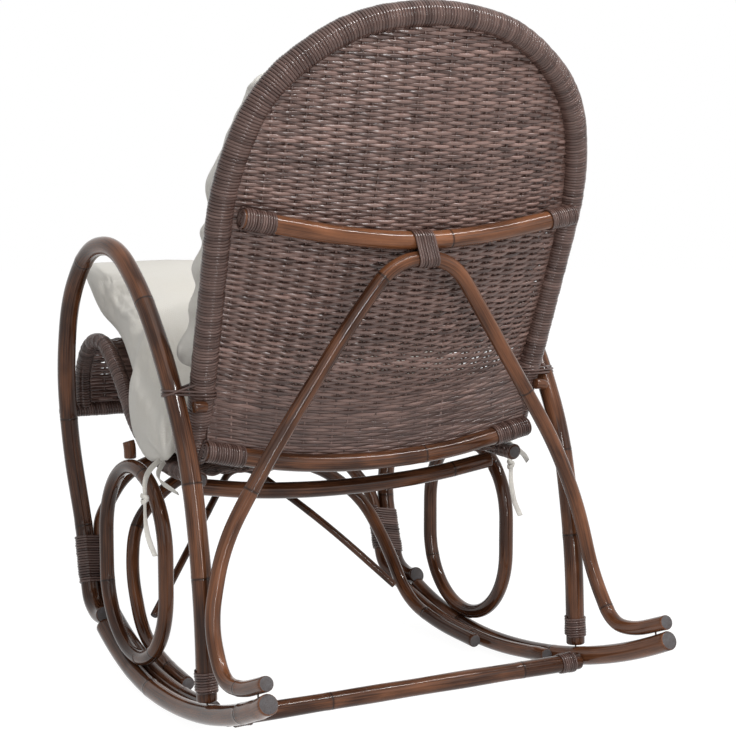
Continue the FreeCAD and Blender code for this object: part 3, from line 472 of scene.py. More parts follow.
def cotton_group():
    """Plain weave, slubs and soft shade of cotton cloth."""
    group, given, out = node_group("Cotton Weave", [
        ("Cloth", "Color", (0.76, 0.71, 0.62, 1)), ("Shade", "Color", (0.6, 0.53, 0.43, 1)),
        ("Thread", "Float", 1900.0),
    ], [("Color", "Color"), ("Height", "Float")])
    place = own_place(group)
    split = add_node(group, "SeparateXYZ", {0: place})
    depth = maths(group, "ADD", split.outputs[1], split.outputs[2])
    warp, weft = (maths(group, "SINE", maths(group, "MULTIPLY", way, given.outputs["Thread"]), 0.0)
                  for way in (split.outputs[0], depth))
    cross = maths(group, "MULTIPLY", warp, weft)
    slub = clouds(group, place, 240.0)
    soft = clouds(group, place, 9.0)
    shade = maths(group, "ADD", maths(group, "MULTIPLY", cross, 0.06),
                  maths(group, "ADD", maths(group, "MULTIPLY", slub, 0.35), soft))
    shade = ranged(group, shade, 0.45, 1.15, 0.0, 0.55)
    colour = mixed(group, shade, given.outputs["Cloth"], given.outputs["Shade"])
    group.links.new(colour, out.inputs["Color"])
    height = maths(group, "ADD", maths(group, "MULTIPLY", cross, 0.5), slub)
    group.links.new(height, out.inputs["Height"])
    return group


def grouped(tree, name, maker, values):
    """Node of a group that is built once, with its values."""
    if name not in GROUPS:
        GROUPS[name] = maker()
    return add_node(tree, "Group", values, node_tree=GROUPS[name])


def principled(name, **constants):
    """New material and its shader, with constant numbers on the shader's own sockets."""
    made = bpy.data.materials.new(name)
    made.use_nodes = True
    shader = made.node_tree.nodes["Principled BSDF"]
    for key, value in constants.items():
        shader.inputs[key.replace("_", " ")].default_value = value
    FINISHES[name] = made
    return made, made.node_tree, shader


def bumped(tree, shader, height, distance, strength=1.0):
    """Feed a height into the shader's normal."""
    bump = add_node(tree, "Bump", {"Strength": strength, "Distance": distance, "Height": height})
    tree.links.new(bump.outputs[0], shader.inputs["Normal"])


def tinted(colour, *shares):
    """Colour with its red, green and blue scaled."""
    return [value * share for value, share in zip(colour, shares)] + [1.0]


# Settings, shares of their dark and light colours, streaks, fibres, bump, range of roughness and
# specular level of each rattan finish
CANE_FINISHES = {
    "lacquered_rattan": ("pole_finish", 1.0, 1.0, 0.45, 700.0, 0.00001, (0.06, 0.20), 0.24),
    "woven_cane": ("cane_sizes", 1.0, 1.0, 0.5, 1400.0, 0.000015, (0.14, 0.32), 0.5),
    "wound_cane": ("cane_sizes", 0.9, 0.66, 0.5, 1400.0, 0.000012, (0.12, 0.28), 0.36),
}


def cane_finish(name):
    """Lacquered pole, worn woven cane, or the darker cane that is wound tight."""
    if name in FINISHES:
        return FINISHES[name]
    settings, dark, light, streaks, fibre, bump, gloss, specular = CANE_FINISHES[name]
    colours = getattr(bpy.context.scene, settings)
    made, tree, shader = principled(name, Specular_IOR_Level=specular)
    grain = grouped(tree, "Rattan Grain", cane_group, {
        "Dark": tinted(colours.dark, dark, dark, dark), "Streaks": streaks,
        "Light": tinted(colours.light, light, light, light), "Fibre": fibre})
    tree.links.new(grain.outputs["Color"], shader.inputs["Base Color"])
    dull = ranged(tree, grain.outputs["Dullness"], 0.0, 1.0, *gloss)
    tree.links.new(dull, shader.inputs["Roughness"])
    bumped(tree, shader, grain.outputs["Height"], bump)
    return made


def cut_finish():
    """Sawn pole end: dull grey pores."""
    if "sawn_end" in FINISHES:
        return FINISHES["sawn_end"]
    made, tree, shader = principled("sawn_end", Roughness=0.8)
    place = own_place(tree)
    pores = add_node(tree, "TexVoronoi", {"Vector": place, "Scale": 900.0}).outputs["Distance"]
    open_pore = ranged(tree, pores, 0.12, 0.42)
    blotch = ranged(tree, clouds(tree, place, 120.0), 0.35, 0.7, 0.0, 0.5)
    colour = mixed(tree, open_pore, (0.022, 0.019, 0.020, 1), (0.085, 0.078, 0.080, 1))
    colour = mixed(tree, blotch, colour, (0.05, 0.035, 0.03, 1))
    tree.links.new(colour, shader.inputs["Base Color"])
    bumped(tree, shader, open_pore, 0.0003)
    return made


def cotton_finish(name="cushion_cotton", thread=1900.0):
    """Unbleached cotton cloth."""
    if name in FINISHES:
        return FINISHES[name]
    cover = bpy.context.scene.cushion_fill.cover
    made, tree, shader = principled(name, Roughness=0.85, Sheen_Weight=0.25, Sheen_Roughness=0.5)
    weave = grouped(tree, "Cotton Weave", cotton_group, {
        "Cloth": tuple(cover), "Shade": tinted(cover, 0.90, 0.86, 0.78), "Thread": thread})
    tree.links.new(weave.outputs["Color"], shader.inputs["Base Color"])
    bumped(tree, shader, weave.outputs["Height"], 0.00025, 0.7)
    return made


# Poles

POLES = (
    "left_runner", "right_runner", "left_arm_hoop", "right_arm_hoop", "left_ring", "right_ring",
    "front_arch", "seat_arch", "v_stay", "rear_crossbar", "seat_rear_rail", "seat_front_rail",
    "left_ring_post", "right_ring_post", "upper_back_bar", "lower_back_bar", "back_brace",
    "left_peg", "right_peg", "left_seat_rail", "right_seat_rail", "apron_rail", "back_rim",
)
POLE_TONE = 0.27
TONE_SPREAD = 0.10
TONE_RANGE = (0.06, 0.95)
TONES = {"upper_back_bar": 0.62, "left_runner": 0.3, "right_runner": 0.3, "back_brace": 0.36,
         "lower_back_bar": 0.4, "rear_crossbar": 0.28}
LIGHT_ENDS = ("left_runner", "right_runner", "back_brace")
LIGHT_TONE = 0.5
POLE_SECTIONS = 20
POLE_BEVEL = 0.0018
BEVEL_MOST = 0.15       # largest bevel as a share of the radius
BEVEL_MIDDLE = 0.35     # share of the bevel at which its rounding is sampled
END_CLEAR = 0.004       # a joint's samples stay this far from a pole's end
END_SIZE = 0.90         # share of the radius left at a bevelled end
FIRST_JOINT = (0.06, 0.22)
LAST_JOINT = 0.07       # least distance from the last joint to the pole's end
SPACING_RANGE = (0.75, 1.25)
JOINT_WIDTH = 0.005     # spread of a joint's swell along the pole
GROOVE = (0.028, 0.0009)    # depth as a share of the radius, and width
MARK_WIDTH = 0.0015     # width of a joint's dark line
WAVES = (11, 23, 41)    # slow changes of a pole's radius along it
WAVE_DEPTH = 0.006
# Sample places on either side of a joint
BESIDE_JOINT = np.array((-0.012, -0.006, -0.003, -0.0014, -0.0006, 0,
                         0.0006, 0.0014, 0.003, 0.006, 0.012))
# Joints seen on the arm hoops, from the front splice to the rear leg: y, z and the tone after each
HOOP_JOINTS = ((-0.330, 0.200, 0.16), (-0.333, 0.372, 0.20), (-0.225, 0.620, 0.42),
               (0.010, 0.575, 0.24), (0.130, 0.330, 0.46), (0.166, 0.215, 0.22))
HOOP_TONE = 0.18


def pole_joints(node, line, random):
    """Places of a pole's joints along it, and the tone of each length between them."""
    along = lengths(line)
    if "arm_hoop" in node:
        seen = [(float(along[nearest(line[:, 1:], (y, z))]), tone) for y, z, tone in HOOP_JOINTS]
        if line[0, 1] > line[-1, 1]:
            seen = seen[::-1]
            tones = [tone for _, tone in seen] + [HOOP_TONE]
        else:
            tones = [HOOP_TONE] + [tone for _, tone in seen]
        return np.array([place for place, _ in seen]), np.array(tones)
    spacing = bpy.context.scene.pole_finish.joint_spacing
    joints = [random.uniform(*FIRST_JOINT)]
    while joints[-1] < along[-1] - LAST_JOINT:
        joints.append(joints[-1] + spacing * random.uniform(*SPACING_RANGE))
    tones = TONES.get(node, POLE_TONE) + random.normal(0, TONE_SPREAD, len(joints))
    if node in LIGHT_ENDS:
        rear = 0 if line[0, 1] > line[-1, 1] else -1
        for end in ((0, -1) if node == "back_brace" else (rear,)):
            tones[end] = LIGHT_TONE
    return np.array(joints[:-1]), np.clip(tones, *TONE_RANGE)


def pole_places(line, closed, joints, bevel):
    """Sample places along a pole, close together at its joints and bevelled ends."""
    total = lengths(line)[-1]
    close = (joints[:, None] + BESIDE_JOINT).ravel()
    if closed:
        places = np.concatenate((np.arange(0.0, total - LINE_STEP / 2, LINE_STEP), close))
        places = np.unique(np.round(places, 5))
        return places[(places >= 0) & (places < total - 0.0005)]
    close = close[(close > END_CLEAR) & (close < total - END_CLEAR)]
    places = np.concatenate((np.arange(0.0, total, LINE_STEP), close))
    half_way = bevel * BEVEL_MIDDLE
    ends = (0.0, half_way, bevel, total - bevel, total - half_way, total)
    places = np.unique(np.round(np.concatenate((places[places > 2 * bevel], ends)), 5))
    places = places[(places <= bevel) | (places > 2 * bevel)]
    return places[(places >= total - bevel - 1e-5) | (places < total - 2 * bevel)]


def grow_pole(node):
    """One rattan pole along its solid's line, with swollen joints and sawn ends."""
    swell = bpy.context.scene.pole_finish.joint_swell
    line, radius, closed = pole_line(node)
    random = seeded(node)
    joints, tones = pole_joints(node, line, random)
    bevel = min(POLE_BEVEL, radius * BEVEL_MOST)
    if closed:
        line = np.concatenate((line, line[:1]))
    places = pole_places(line, closed, joints, bevel)
    points = at_lengths(line, places)
    size = np.ones(len(places))
    mark = np.zeros(len(places))
    tone = np.full(len(places), tones[0])
    for joint, tone_after in zip(joints, tones[1:]):
        off = places - joint
        size += swell * np.exp(-(off / JOINT_WIDTH) ** 2)
        size -= GROOVE[0] * np.exp(-(off / GROOVE[1]) ** 2)
        mark = np.maximum(mark, np.exp(-(off / MARK_WIDTH) ** 2))
        tone = np.where(off > 0, tone_after, tone)
    for waves in WAVES:
        size += random.normal(0, WAVE_DEPTH) * np.sin(places * waves + random.uniform(0, 6))
    if not closed:
        inward = np.minimum(places, lengths(line)[-1] - places) / bevel
        size *= END_SIZE + (1 - END_SIZE) * np.sqrt(np.clip(inward, 0, 1))
    _, across, out = transported(points, closed)
    skein = Skein()
    skein.strands = int(random.integers(0, 900))
    skein.add(points, across, out, radius * size, radius * size, POLE_SECTIONS, closed, tone, mark,
              cap_kind=0 if "peg" in node else 1)
    finishes = (cane_finish("lacquered_rattan"), cut_finish())
    return skein.piece(node + "_pole", finishes, "rattan_pole", node)


# Wound cane

TURN_SAMPLES = 18
CANE_RISE = 0.82        # share of a strand's half thickness between its middle and the pole
TURN_TONE = (0.40, 0.14)    # mean and spread
TURN_LUMP = 0.00028     # unevenness of a wrapping's turns
PAIR_TONE = (0.4, 0.2)
PAIR_SLACK = 0.0004     # unevenness of the turns round two poles
EASE_START = 0.15       # share of a strand's thickness at its very end
EASE_RATE = 6           # growth of that share in one turn
EASE_WIDTH = 0.75       # share of the width that doesn't ease
WRAP_THICK = 0.0013
WRAP_LAP = 1.14         # a turn's width as a share of its pitch
RIM_BARE = 0.004        # bare length at each end of the rim
RAIL_BARE = 0.002       # bare length at the ends of the rails' wrappings
ONTO_RAIL = 0.008       # how far a seat rail's wrapping runs on at the apron rail
LASH_PITCH = 0.0036
LASH_LAP = 1.05
LASH_THICK = 0.0014
COIL_TURNS = 3.5
COIL_SAMPLES = 80
COIL_EYE = 0.0006       # radius at a coil's inner end
COIL_LIP = 0.0008       # how far its outer turn reaches past the pole
COIL_RISE = 0.0010      # distance of its middle from the pole's end
COIL_CANE = (0.56, 0.0013)  # half width as a share of a turn's room, and half thickness
COIL_TONE = 0.35


def per_turn(random, turn, turns, mean, spread, low=-1.0):
    """Random values, one for each turn, that pass smoothly into each other."""
    count = int(turns) + 3
    return np.interp(turn, np.arange(count), np.clip(random.normal(mean, spread, count), low, 1.0))


def wound(skein, line, radius, pitch, wide, thick, start, finish, seed):
    """Wind one strand tightly round a line between two distances along it."""
    turns = max(1.0, (finish - start) / pitch)
    turn = np.linspace(0, turns, int(turns * TURN_SAMPLES) + 1)
    places = start + (finish - start) * turn / turns
    _, across, out = transported(line)
    first = unit(at_lengths(line, places, across))
    second = unit(at_lengths(line, places, out))
    angle = turn * 2 * math.pi
    radial = first * np.cos(angle)[:, None] + second * np.sin(angle)[:, None]
    random = seeded(seed)
    lumps = per_turn(random, turn, turns, 0, TURN_LUMP)
    tone = per_turn(random, turn, turns, *TURN_TONE, 0.0)
    ease = np.minimum(1.0, np.minimum(turn, turns - turn) * EASE_RATE + EASE_START)
    path = at_lengths(line, places) + radial * (radius + thick * CANE_RISE + lumps)[:, None]
    half = wide / 2 * (EASE_WIDTH + (1 - EASE_WIDTH) * ease)
    skein.add(path, np.cross(first, second), radial, half, thick * ease, tone=tone)


def wound_pair(skein, ends, axis, radii, pitch, turns, wide, thick, seed):
    """Wind a strand round two poles side by side, in a rounded loop."""
    axis, half = unit(np.array(axis, float)), (ends[1] - ends[0]) / 2
    half_span = np.linalg.norm(half)
    across = half / half_span
    other = np.cross(axis, across)
    half_turn = np.linspace(0, 1, 13)[:-1] * math.pi
    loop = []
    for middle, radius, angle in ((half_span, radii[1], half_turn - math.pi / 2),
                                  (-half_span, radii[0], half_turn + math.pi / 2)):
        loop.append(np.stack([middle + radius * np.cos(angle), radius * np.sin(angle)], 1))
    loop = np.concatenate(loop)
    index = np.arange(int(turns * len(loop)) + 1)
    turn = index / len(loop)
    flat = loop[index % len(loop)]
    random = seeded(seed)
    slack = per_turn(random, turn, turns, 0, PAIR_SLACK)
    tone = per_turn(random, turn, turns, *PAIR_TONE, 0.0)
    outward = flat.copy()
    outward[:, 0] -= np.clip(flat[:, 0], -half_span, half_span)
    outward = unit(outward)
    out = across * outward[:, :1] + other * outward[:, 1:]
    path = (ends[0] + ends[1]) / 2 + across * flat[:, :1] + other * flat[:, 1:]
    path = path + axis * ((turn - turns / 2) * pitch)[:, None] + out * slack[:, None]
    skein.add(path, np.broadcast_to(axis, path.shape), out, wide / 2, thick, tone=tone)


def wrapped(node, core):
    """Wrapping along the part of a core that its solid covers."""
    pitch = bpy.context.scene.cane_sizes.wrap_pitch
    line, radius, _ = pole_line(core)
    along = lengths(line)
    if core == "back_rim":
        start, finish = RIM_BARE, along[-1] - RIM_BARE
    elif core == "apron_rail":
        span = covered(line, node, 0.0005)
        start, finish = along[span[0]] + RAIL_BARE, along[span[-1]] - RAIL_BARE
    else:
        line = rail_line(core)
        onto_apron_rail = line[-1] + unit(line[-1] - line[-4]) * ONTO_RAIL
        line = np.concatenate((line, [onto_apron_rail]))
        start, finish = RAIL_BARE, lengths(line)[-1]
    skein = Skein()
    wound(skein, line, radius, pitch, pitch * WRAP_LAP, WRAP_THICK, start, finish, node)
    return skein.piece(node + "_cane", (cane_finish("wound_cane"),), "cane_wrap", node)


# Weave

STAKE_HALF = 0.0019     # mean radius of a stake
STAKE_OVAL = (1.15, 0.8)    # its half width and half thickness as shares of that
STAKE_TONE = (0.3, 0.1)
WEAVER_TONE = (0.45, 0.15)
WEAVER_RANGE = (0.93, 1.05)
WEAVER_FLAT = 0.62      # a weaver's thickness as a share of its width
WEAVER_SAMPLES = 9      # points from one stake to the next
WEAVE_SWING = 0.0022    # how far a weaver swings to either side of the stakes
SWING_CHANGE = (0.25, 62)   # share by which the swing changes along a row, and radians per metre
ROW_END = (-0.004, 0.03)    # distances from a row's end between which its swing grows
LOW_SWING_AND_SHADE = 0.4         # share of the swing that is left at the lower bar; it also darkens the weavers there as painted shade
SWING_AND_SHADE_HEIGHT = (0.06, 0.15)     # heights over the bar between which the swing grows to the full and the painted shade fades out
BAR_TURN = 0.11         # height over which the woven back turns down onto the lower bar
BEFORE_BAR = 0.55       # share of the bar's radius that the weave lies in front of its middle
BEND_FADE = 0.75        # share of the back's height over which rows lose the bar's bend
LEAN_STEP = 0.001       # step at which the back's slope is taken
RIM_INSET = 0.004       # gap between a row's end and the rim's centre line
TOP_INSET = 0.012       # gap between the last row and the rim's top
SEAT_ROWS, APRON_ROWS = 1.1, 1.15   # their row pitch as shares of the back's
PANEL_SAMPLES = 8
PANEL_REACH = 0.004     # how far a row reaches past its panel's solid
APRON_MORE = 0.012      # how far the apron's rows run on past its solid


def woven(surface, rows, stakes, node):
    """Plain weave on a surface; a row gives its flat place and the share of its swing, which also
    darkens its weaver near the lower bar as painted shade.
    """
    cane = bpy.context.scene.cane_sizes
    random = seeded(node)
    skein = Skein()
    for number, row in enumerate(rows):
        points, normals = surface(row)
        side = 1 if number % 2 else -1
        lift = side * WEAVE_SWING * np.cos(math.pi * row[:, 0] / cane.stake_pitch)
        lift = lift * (1 + SWING_CHANGE[0] * np.sin(SWING_CHANGE[1] * row[:, 0] + number))
        from_end = np.abs(row[[0], 0]) - np.abs(row[:, 0])
        lift = lift * smooth_step(*ROW_END, from_end) * row[:, 2]
        line = points + normals * lift[:, None]
        tangents = unit(np.gradient(line, axis=0))
        out = square_to(normals, tangents)
        # Rows with less swing near the lower bar get a darker tone: painted shade.
        tone = np.clip(random.normal(*WEAVER_TONE), 0.05, 1) * np.sqrt(row[:, 2])
        half = cane.weaver / 2 * random.uniform(*WEAVER_RANGE)
        skein.add(line, np.cross(out, tangents), out, half, half * WEAVER_FLAT, tone=tone)
    for stake in stakes:
        points, normals = surface(stake)
        tangents = unit(np.gradient(points, axis=0))
        tone = np.clip(random.normal(*STAKE_TONE), 0, 1)
        wide, thick = (STAKE_HALF * share for share in STAKE_OVAL)
        skein.add(points, np.cross(normals, tangents), normals, wide, thick, tone=tone)
    return skein.piece(node + "_cane", (cane_finish("woven_cane"),), "woven_cane", node)


def back_plane():
    """Rim's plane: its middle, up and backward directions, and the rim's line in it."""
    line = pole_line("back_rim")[0]
    middle = line.mean(0)
    middle[0] = 0.0
    _, _, ways = np.linalg.svd(line - line.mean(0))
    normal = ways[2] * np.sign(ways[2][1])
    up = unit(np.cross(normal, X_WAY))
    up = up * np.sign(up[2])
    return middle, up, normal, np.stack([line[:, 0], (line - middle) @ up], 1)


def weave_back():
    """Woven back: bulged rows between the rim's sides, closed down onto the lower bar."""
    cane = bpy.context.scene.cane_sizes
    middle, up, normal, rim = back_plane()
    tree, _ = solid_tree("back_weave")
    samples = []
    for u in np.linspace(-0.25, 0.25, 21):
        for v in np.linspace(rim[:, 1].min(), rim[:, 1].max(), 33):
            spot = middle + X_WAY * u + up * v
            hits = [tree.ray_cast(Vector(spot + normal * 0.3 * way), Vector(-normal * way))[0]
                    for way in (1, -1)]
            if None not in hits:
                samples.append((u, v, np.mean([(np.array(hit) - middle) @ normal for hit in hits])))
    u, v, depth = np.array(samples).T

    def terms(u, v):
        return np.stack([np.ones_like(u), u ** 2, v, v ** 2, u ** 2 * v, v ** 3, u ** 4], 1)

    fit = np.linalg.lstsq(terms(u, v), depth, rcond=None)[0]
    side = rim[rim[:, 0] >= -0.001]
    side = side[np.argsort(side[:, 1])]
    top = side[:, 1].max()
    bar, bar_radius, _ = pole_line("lower_back_bar")
    bar = bar[np.argsort(bar[:, 0])]
    bar_across, bar_up, bar_behind = bar[:, 0], (bar - middle) @ up, (bar - middle) @ normal
    edge_height = bar_up[0]

    def bar_height(u):
        return np.interp(u, bar_across, bar_up)

    def depth_at(u, v):
        depth = terms(u, v) @ fit
        near = 1 - smooth_step(0.0, BAR_TURN, v - bar_height(u))
        behind = np.interp(u, bar_across, bar_behind) - BEFORE_BAR * bar_radius
        return depth + (behind - depth) * near

    def surface(curve):
        u, v = curve[:, 0], curve[:, 1]
        points = middle + X_WAY * u[:, None] + up * v[:, None] + normal * depth_at(u, v)[:, None]
        step = LEAN_STEP
        lean_u = (depth_at(u + step, v) - depth_at(u - step, v)) / (2 * step)
        lean_v = (depth_at(u, v + step) - depth_at(u, v - step)) / (2 * step)
        return points, unit(normal - X_WAY * lean_u[:, None] - up * lean_v[:, None])

    def row_at(u, height):
        fade = 1 - smooth_step(0.0, BEND_FADE * (top - edge_height), height - edge_height)
        return height + (bar_height(u) - edge_height) * fade

    # Rows lie a pitch apart along the surface where it climbs the most
    heights = np.arange(edge_height - 0.004, top - TOP_INSET, 0.001)
    climbs = []
    for u in np.linspace(-0.21, 0.21, 9):
        v = row_at(u, heights)
        climbs.append(np.hypot(np.diff(v), np.diff(depth_at(np.full(len(v), u), v))))
    climb = np.concatenate(([0.0], np.cumsum(np.max(climbs, axis=0))))
    rows = []
    for height in np.interp(np.arange(0.0, climb[-1], cane.row_pitch), climb, heights):
        half = float(np.interp(height, side[:, 1], side[:, 0]))
        u = np.arange(-half + RIM_INSET, half - RIM_INSET + 1e-6, cane.stake_pitch / WEAVER_SAMPLES)
        if len(u) > 6:
            v = row_at(u, height)
            # The low rows' smaller share also darkens them as painted shade in woven.
            swing = (1 - LOW_SWING_AND_SHADE) * smooth_step(*SWING_AND_SHADE_HEIGHT, v - bar_height(u))
            rows.append(np.stack([u, v, LOW_SWING_AND_SHADE + swing], 1))
    stakes = []
    for u in np.arange(-12, 13) * cane.stake_pitch:
        if abs(u) <= side[:, 0].max() - 0.012:
            v = np.arange(bar_height(u), side[side[:, 0] >= abs(u), 1].max(), LINE_STEP)
            stakes.append(np.stack([np.full(len(v), u), v], 1))
    return woven(surface, rows, stakes, "back_weave")


def weave_panel(node, row_pitch):
    """Woven seat or apron along the seat rails' profile."""
    pitch = bpy.context.scene.cane_sizes.stake_pitch
    profile = rail_line("left_seat_rail")[:, 1:]
    along = lengths(profile)
    slope = unit(np.gradient(profile, axis=0))
    span = covered(profile, node, 0.001)
    under = 0.0
    if node == "apron_weave":
        span = span[span > len(profile) // 2]
        under = APRON_MORE
    start, finish = along[span[0]], along[span[-1]] + under
    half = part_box(node)[1][0] + PANEL_REACH

    def surface(curve):
        u, s = curve[:, 0], curve[:, 1]
        y, z, way_y, way_z = (np.interp(s, along, values) for values in (*profile.T, *slope.T))
        normals = unit(np.stack([np.zeros_like(u), way_z, -way_y], 1))
        return np.stack([u, y, z], 1), normals * np.where(normals[:, 2:].mean() < 0, -1, 1)

    u = np.arange(-half, half + 1e-6, pitch / PANEL_SAMPLES)
    rows = [np.stack([u, np.full(len(u), s), np.ones(len(u))], 1)
            for s in np.arange(start, finish + 1e-6, row_pitch)]
    s = np.arange(start, finish + 1e-6, LINE_STEP)
    most = int(half / pitch)
    stakes = [np.stack([np.full(len(s), number * pitch), s], 1)
              for number in range(-most, most + 1)]
    return woven(surface, rows, stakes, node)


# Lashings

PAIR_PITCH = 0.0041
FORK_TURNS = 18
FORK_CANE = 0.0042      # width of the forks' strand
FORK_RISE = 0.0015      # height of its middle over the poles
FORK_REACH = 0.03       # distance to either side at which the fork's direction is taken
BRACE_TURNS = 8
BRACE_CANE = 0.0043
BRACE_RISE = 0.0012
ARM_CANE = (0.0034, 0.0016)     # width and half thickness of the arm ties' strand
ARM_LIFT = (0.0016, 0.0042)     # height of its middle over the leg and over the wrapped rim
ARM_TURNS = (0.0046, 2.5)       # pitch and number of the level turns
SLANT_TURNS = (0.003, 1.2)
REAR_LEG = -0.05                # the rear leg is the part of a hoop behind this y
ARM_RISE = 0.016                # climb of the slanting turn from the leg to the rim


def lashed(skein, line, radius, start, finish, seed):
    """Close turns of binding cane between two distances along a pole."""
    wound(skein, line, radius, LASH_PITCH, LASH_PITCH * LASH_LAP, LASH_THICK, start, finish, seed)


def binding(skein, node):
    """Piece of binding cane that stands for its node."""
    return skein.piece(node + "_cane", (cane_finish("wound_cane"),), "binding_cane", node)


def bound_end(skein, line, radius, last):
    """Close a bar's end with a flat coil of the binding strand."""
    tangents, across, out = transported(line)
    place = -1 if last else 0
    way = tangents[place] * (1 if last else -1)
    turn = np.linspace(0, COIL_TURNS, COIL_SAMPLES)
    angle = turn * 2 * math.pi
    radial = across[place] * np.cos(angle)[:, None] + out[place] * np.sin(angle)[:, None]
    reach = COIL_EYE + (radius + COIL_LIP) * (1 - turn / COIL_TURNS)
    path = line[place] + radial * reach[:, None] + way * COIL_RISE
    half = radius / COIL_TURNS * COIL_CANE[0]
    skein.add(path, radial, np.broadcast_to(way, path.shape), half, COIL_CANE[1],
              tone=COIL_TONE)


def lash_bar(name, bar, first, last, bound):
    """Windings between two distances from each end of a bar, with the ends bound over if asked."""
    line, radius, _ = pole_line(bar)
    total = lengths(line)[-1]
    skein = Skein()
    for number, (start, finish) in enumerate(((first, last), (total - last, total - first))):
        lashed(skein, line, radius, start, finish, name + str(number))
        if bound:
            bound_end(skein, line, radius, number == 1)
    return binding(skein, name)


def side_middles(node):
    """Mean point of a node's left half and of its right half."""
    points = vertices_of(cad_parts[node].data)
    return {side: points[points[:, 0] * sign > 0].mean(0) for side, sign in SIDES}


def lash_forks():
    """Webs of cane round the hoop's foot and the front arch."""
    skein = Skein()
    arch, arch_radius, _ = pole_line("front_arch")
    for side, spot in side_middles("fork_lashings").items():
        hoop, radius, _ = pole_line(side + "_arm_hoop")
        place = lengths(hoop)[nearest(hoop, spot)]
        behind, ahead = at_lengths(hoop, [place - FORK_REACH, place + FORK_REACH])
        ends = (hoop[nearest(hoop, spot)], arch[nearest(arch, spot)])
        wound_pair(skein, ends, ahead - behind, (radius + FORK_RISE, arch_radius + FORK_RISE),
                   PAIR_PITCH, FORK_TURNS, FORK_CANE, LASH_THICK, side + "_fork")
    return binding(skein, "fork_lashings")


def lash_rear_legs():
    """Bands at the foot of each rear leg."""
    skein = Skein()
    reach = 4 * LASH_PITCH
    for side, spot in side_middles("rear_leg_lashings").items():
        hoop, radius, _ = pole_line(side + "_arm_hoop")
        place = lengths(hoop)[nearest(hoop, spot)]
        lashed(skein, hoop, radius, place - reach, place + reach, side + "_leg")
    return binding(skein, "rear_leg_lashings")


def lash_brace():
    """Turns that tie the brace's bend under the upper bar."""
    skein = Skein()
    bar, radius, _ = pole_line("upper_back_bar")
    brace, brace_radius, _ = pole_line("back_brace")
    ends = (bar[int(np.argmin(np.abs(bar[:, 0])))],
            brace[int(np.argmin(np.abs(brace[:, 0]) - brace[:, 2]))])
    wound_pair(skein, ends, X_WAY, (radius + BRACE_RISE, brace_radius + BRACE_RISE),
               PAIR_PITCH, BRACE_TURNS, BRACE_CANE, LASH_THICK, "brace")
    return binding(skein, "brace_tie")


def lash_arms():
    """Thin strands that tie the rim's lower ends to the hoops, with one slanting turn."""
    skein = Skein()
    rim, rim_radius, _ = pole_line("back_rim")
    middles = side_middles("arm_ties")
    rise = Z_WAY * ARM_RISE
    for side, sign in SIDES:
        hoop, radius, _ = pole_line(side + "_arm_hoop")
        leg, near = (line[int(np.argmin(np.abs(line[:, 2] - middles[side][2])))]
                     for line in (hoop[hoop[:, 1] > REAR_LEG], rim[rim[:, 0] * sign > 0]))
        radii = (radius + ARM_LIFT[0], rim_radius + ARM_LIFT[1])
        wound_pair(skein, (leg, near), Z_WAY, radii, *ARM_TURNS, *ARM_CANE, side + "_arm")
        slant = Z_WAY - unit(near - leg) * (ARM_RISE / np.linalg.norm(near - leg))
        wound_pair(skein, (leg, near + rise), slant, radii, *SLANT_TURNS, *ARM_CANE,
                   side + "_slant")
    return binding(skein, "arm_ties")


# Ties

LONG_LENGTH, SHORT_LENGTH = 0.152, 0.089
LONG_TIE = ((0.281, -0.001, 0.350), (0.295, 0.002, 0.343), (0.308, 0.005, 0.326),
            (0.311, 0.013, 0.300), (0.311, 0.012, 0.278), (0.311, 0.016, 0.257),
            (0.310, 0.026, 0.237), (0.309, 0.043, 0.222))
SHORT_TIE = ((0.281, 0.015, 0.350), (0.291, 0.020, 0.343), (0.300, 0.032, 0.332),
             (0.301, 0.051, 0.326), (0.298, 0.070, 0.322), (0.292, 0.086, 0.316))
KNOT = (0.311, 0.012, 0.299)
KNOT_RADIUS = 0.0046
KNOT_TURNS = ((0.5, 1.0, 0.0024), (-0.6, 0.9, -0.0024))     # lean, size and height of each
KNOT_LEAN = 0.004
KNOT_TAPE = (0.0036, 0.0017)    # half width and half thickness
TAPE_WIDTH = 0.008
TAPE_EDGE = 0.0007      # rounding of the tape's edge, half its thickness


def tape_finish():
    """Cotton of the tapes, finer than the cushions' cloth."""
    return cotton_finish("tape_cotton", 2600.0)


def tape_tie(name, route, sign):
    """Flat cotton tape on a smooth line through its route."""
    curve = bpy.data.curves.new(name + "_tape", "CURVE")
    curve.dimensions = "3D"
    curve.resolution_u = 8
    spline = curve.splines.new("NURBS")
    spline.points.add(len(route) - 1)
    for number, (point, spot) in enumerate(zip(spline.points, route)):
        point.co = (sign * spot[0], spot[1], spot[2], 1.0)
        point.tilt = 0.5 * math.sin(number * 1.3)
    spline.order_u = 3
    spline.use_endpoint_u = True
    curve.extrude = TAPE_WIDTH / 2 - TAPE_EDGE
    curve.bevel_depth = TAPE_EDGE
    curve.bevel_resolution = 1
    curve.materials.append(tape_finish())
    return settle(linked(name + "_tape", curve), "tie_tape", name)


def tie_knot(side, sign):
    """Small overhand knot: two crossed turns of tape drawn tight."""
    skein = Skein()
    turn = np.linspace(0, 2 * math.pi, 29)[:-1]
    for lean, size, height in KNOT_TURNS:
        ring = np.stack([np.cos(turn) * KNOT_RADIUS * size, np.sin(turn) * KNOT_RADIUS * size,
                         lean * KNOT_LEAN * np.cos(turn)], 1)
        radial = unit(ring * np.array((1, 1, 0.2)))
        across = square_to(np.broadcast_to(Z_WAY, ring.shape), radial)
        place = np.array((sign * KNOT[0], KNOT[1], KNOT[2] + height))
        skein.add(ring + place, across, radial, *KNOT_TAPE, 10, True)
    return skein.piece(side + "_tie_knot", (tape_finish(),), "tie_tape")


# Cushions

STUFFING_CAP = 0.012    # farthest that the stuffing may push a point
SEAT_REACH = 0.289      # half width of the seat cushion where it sags outside the rails
SEAT_WRINKLES = ((7.0, 0.006), (21.0, 0.0022))      # fineness and depth
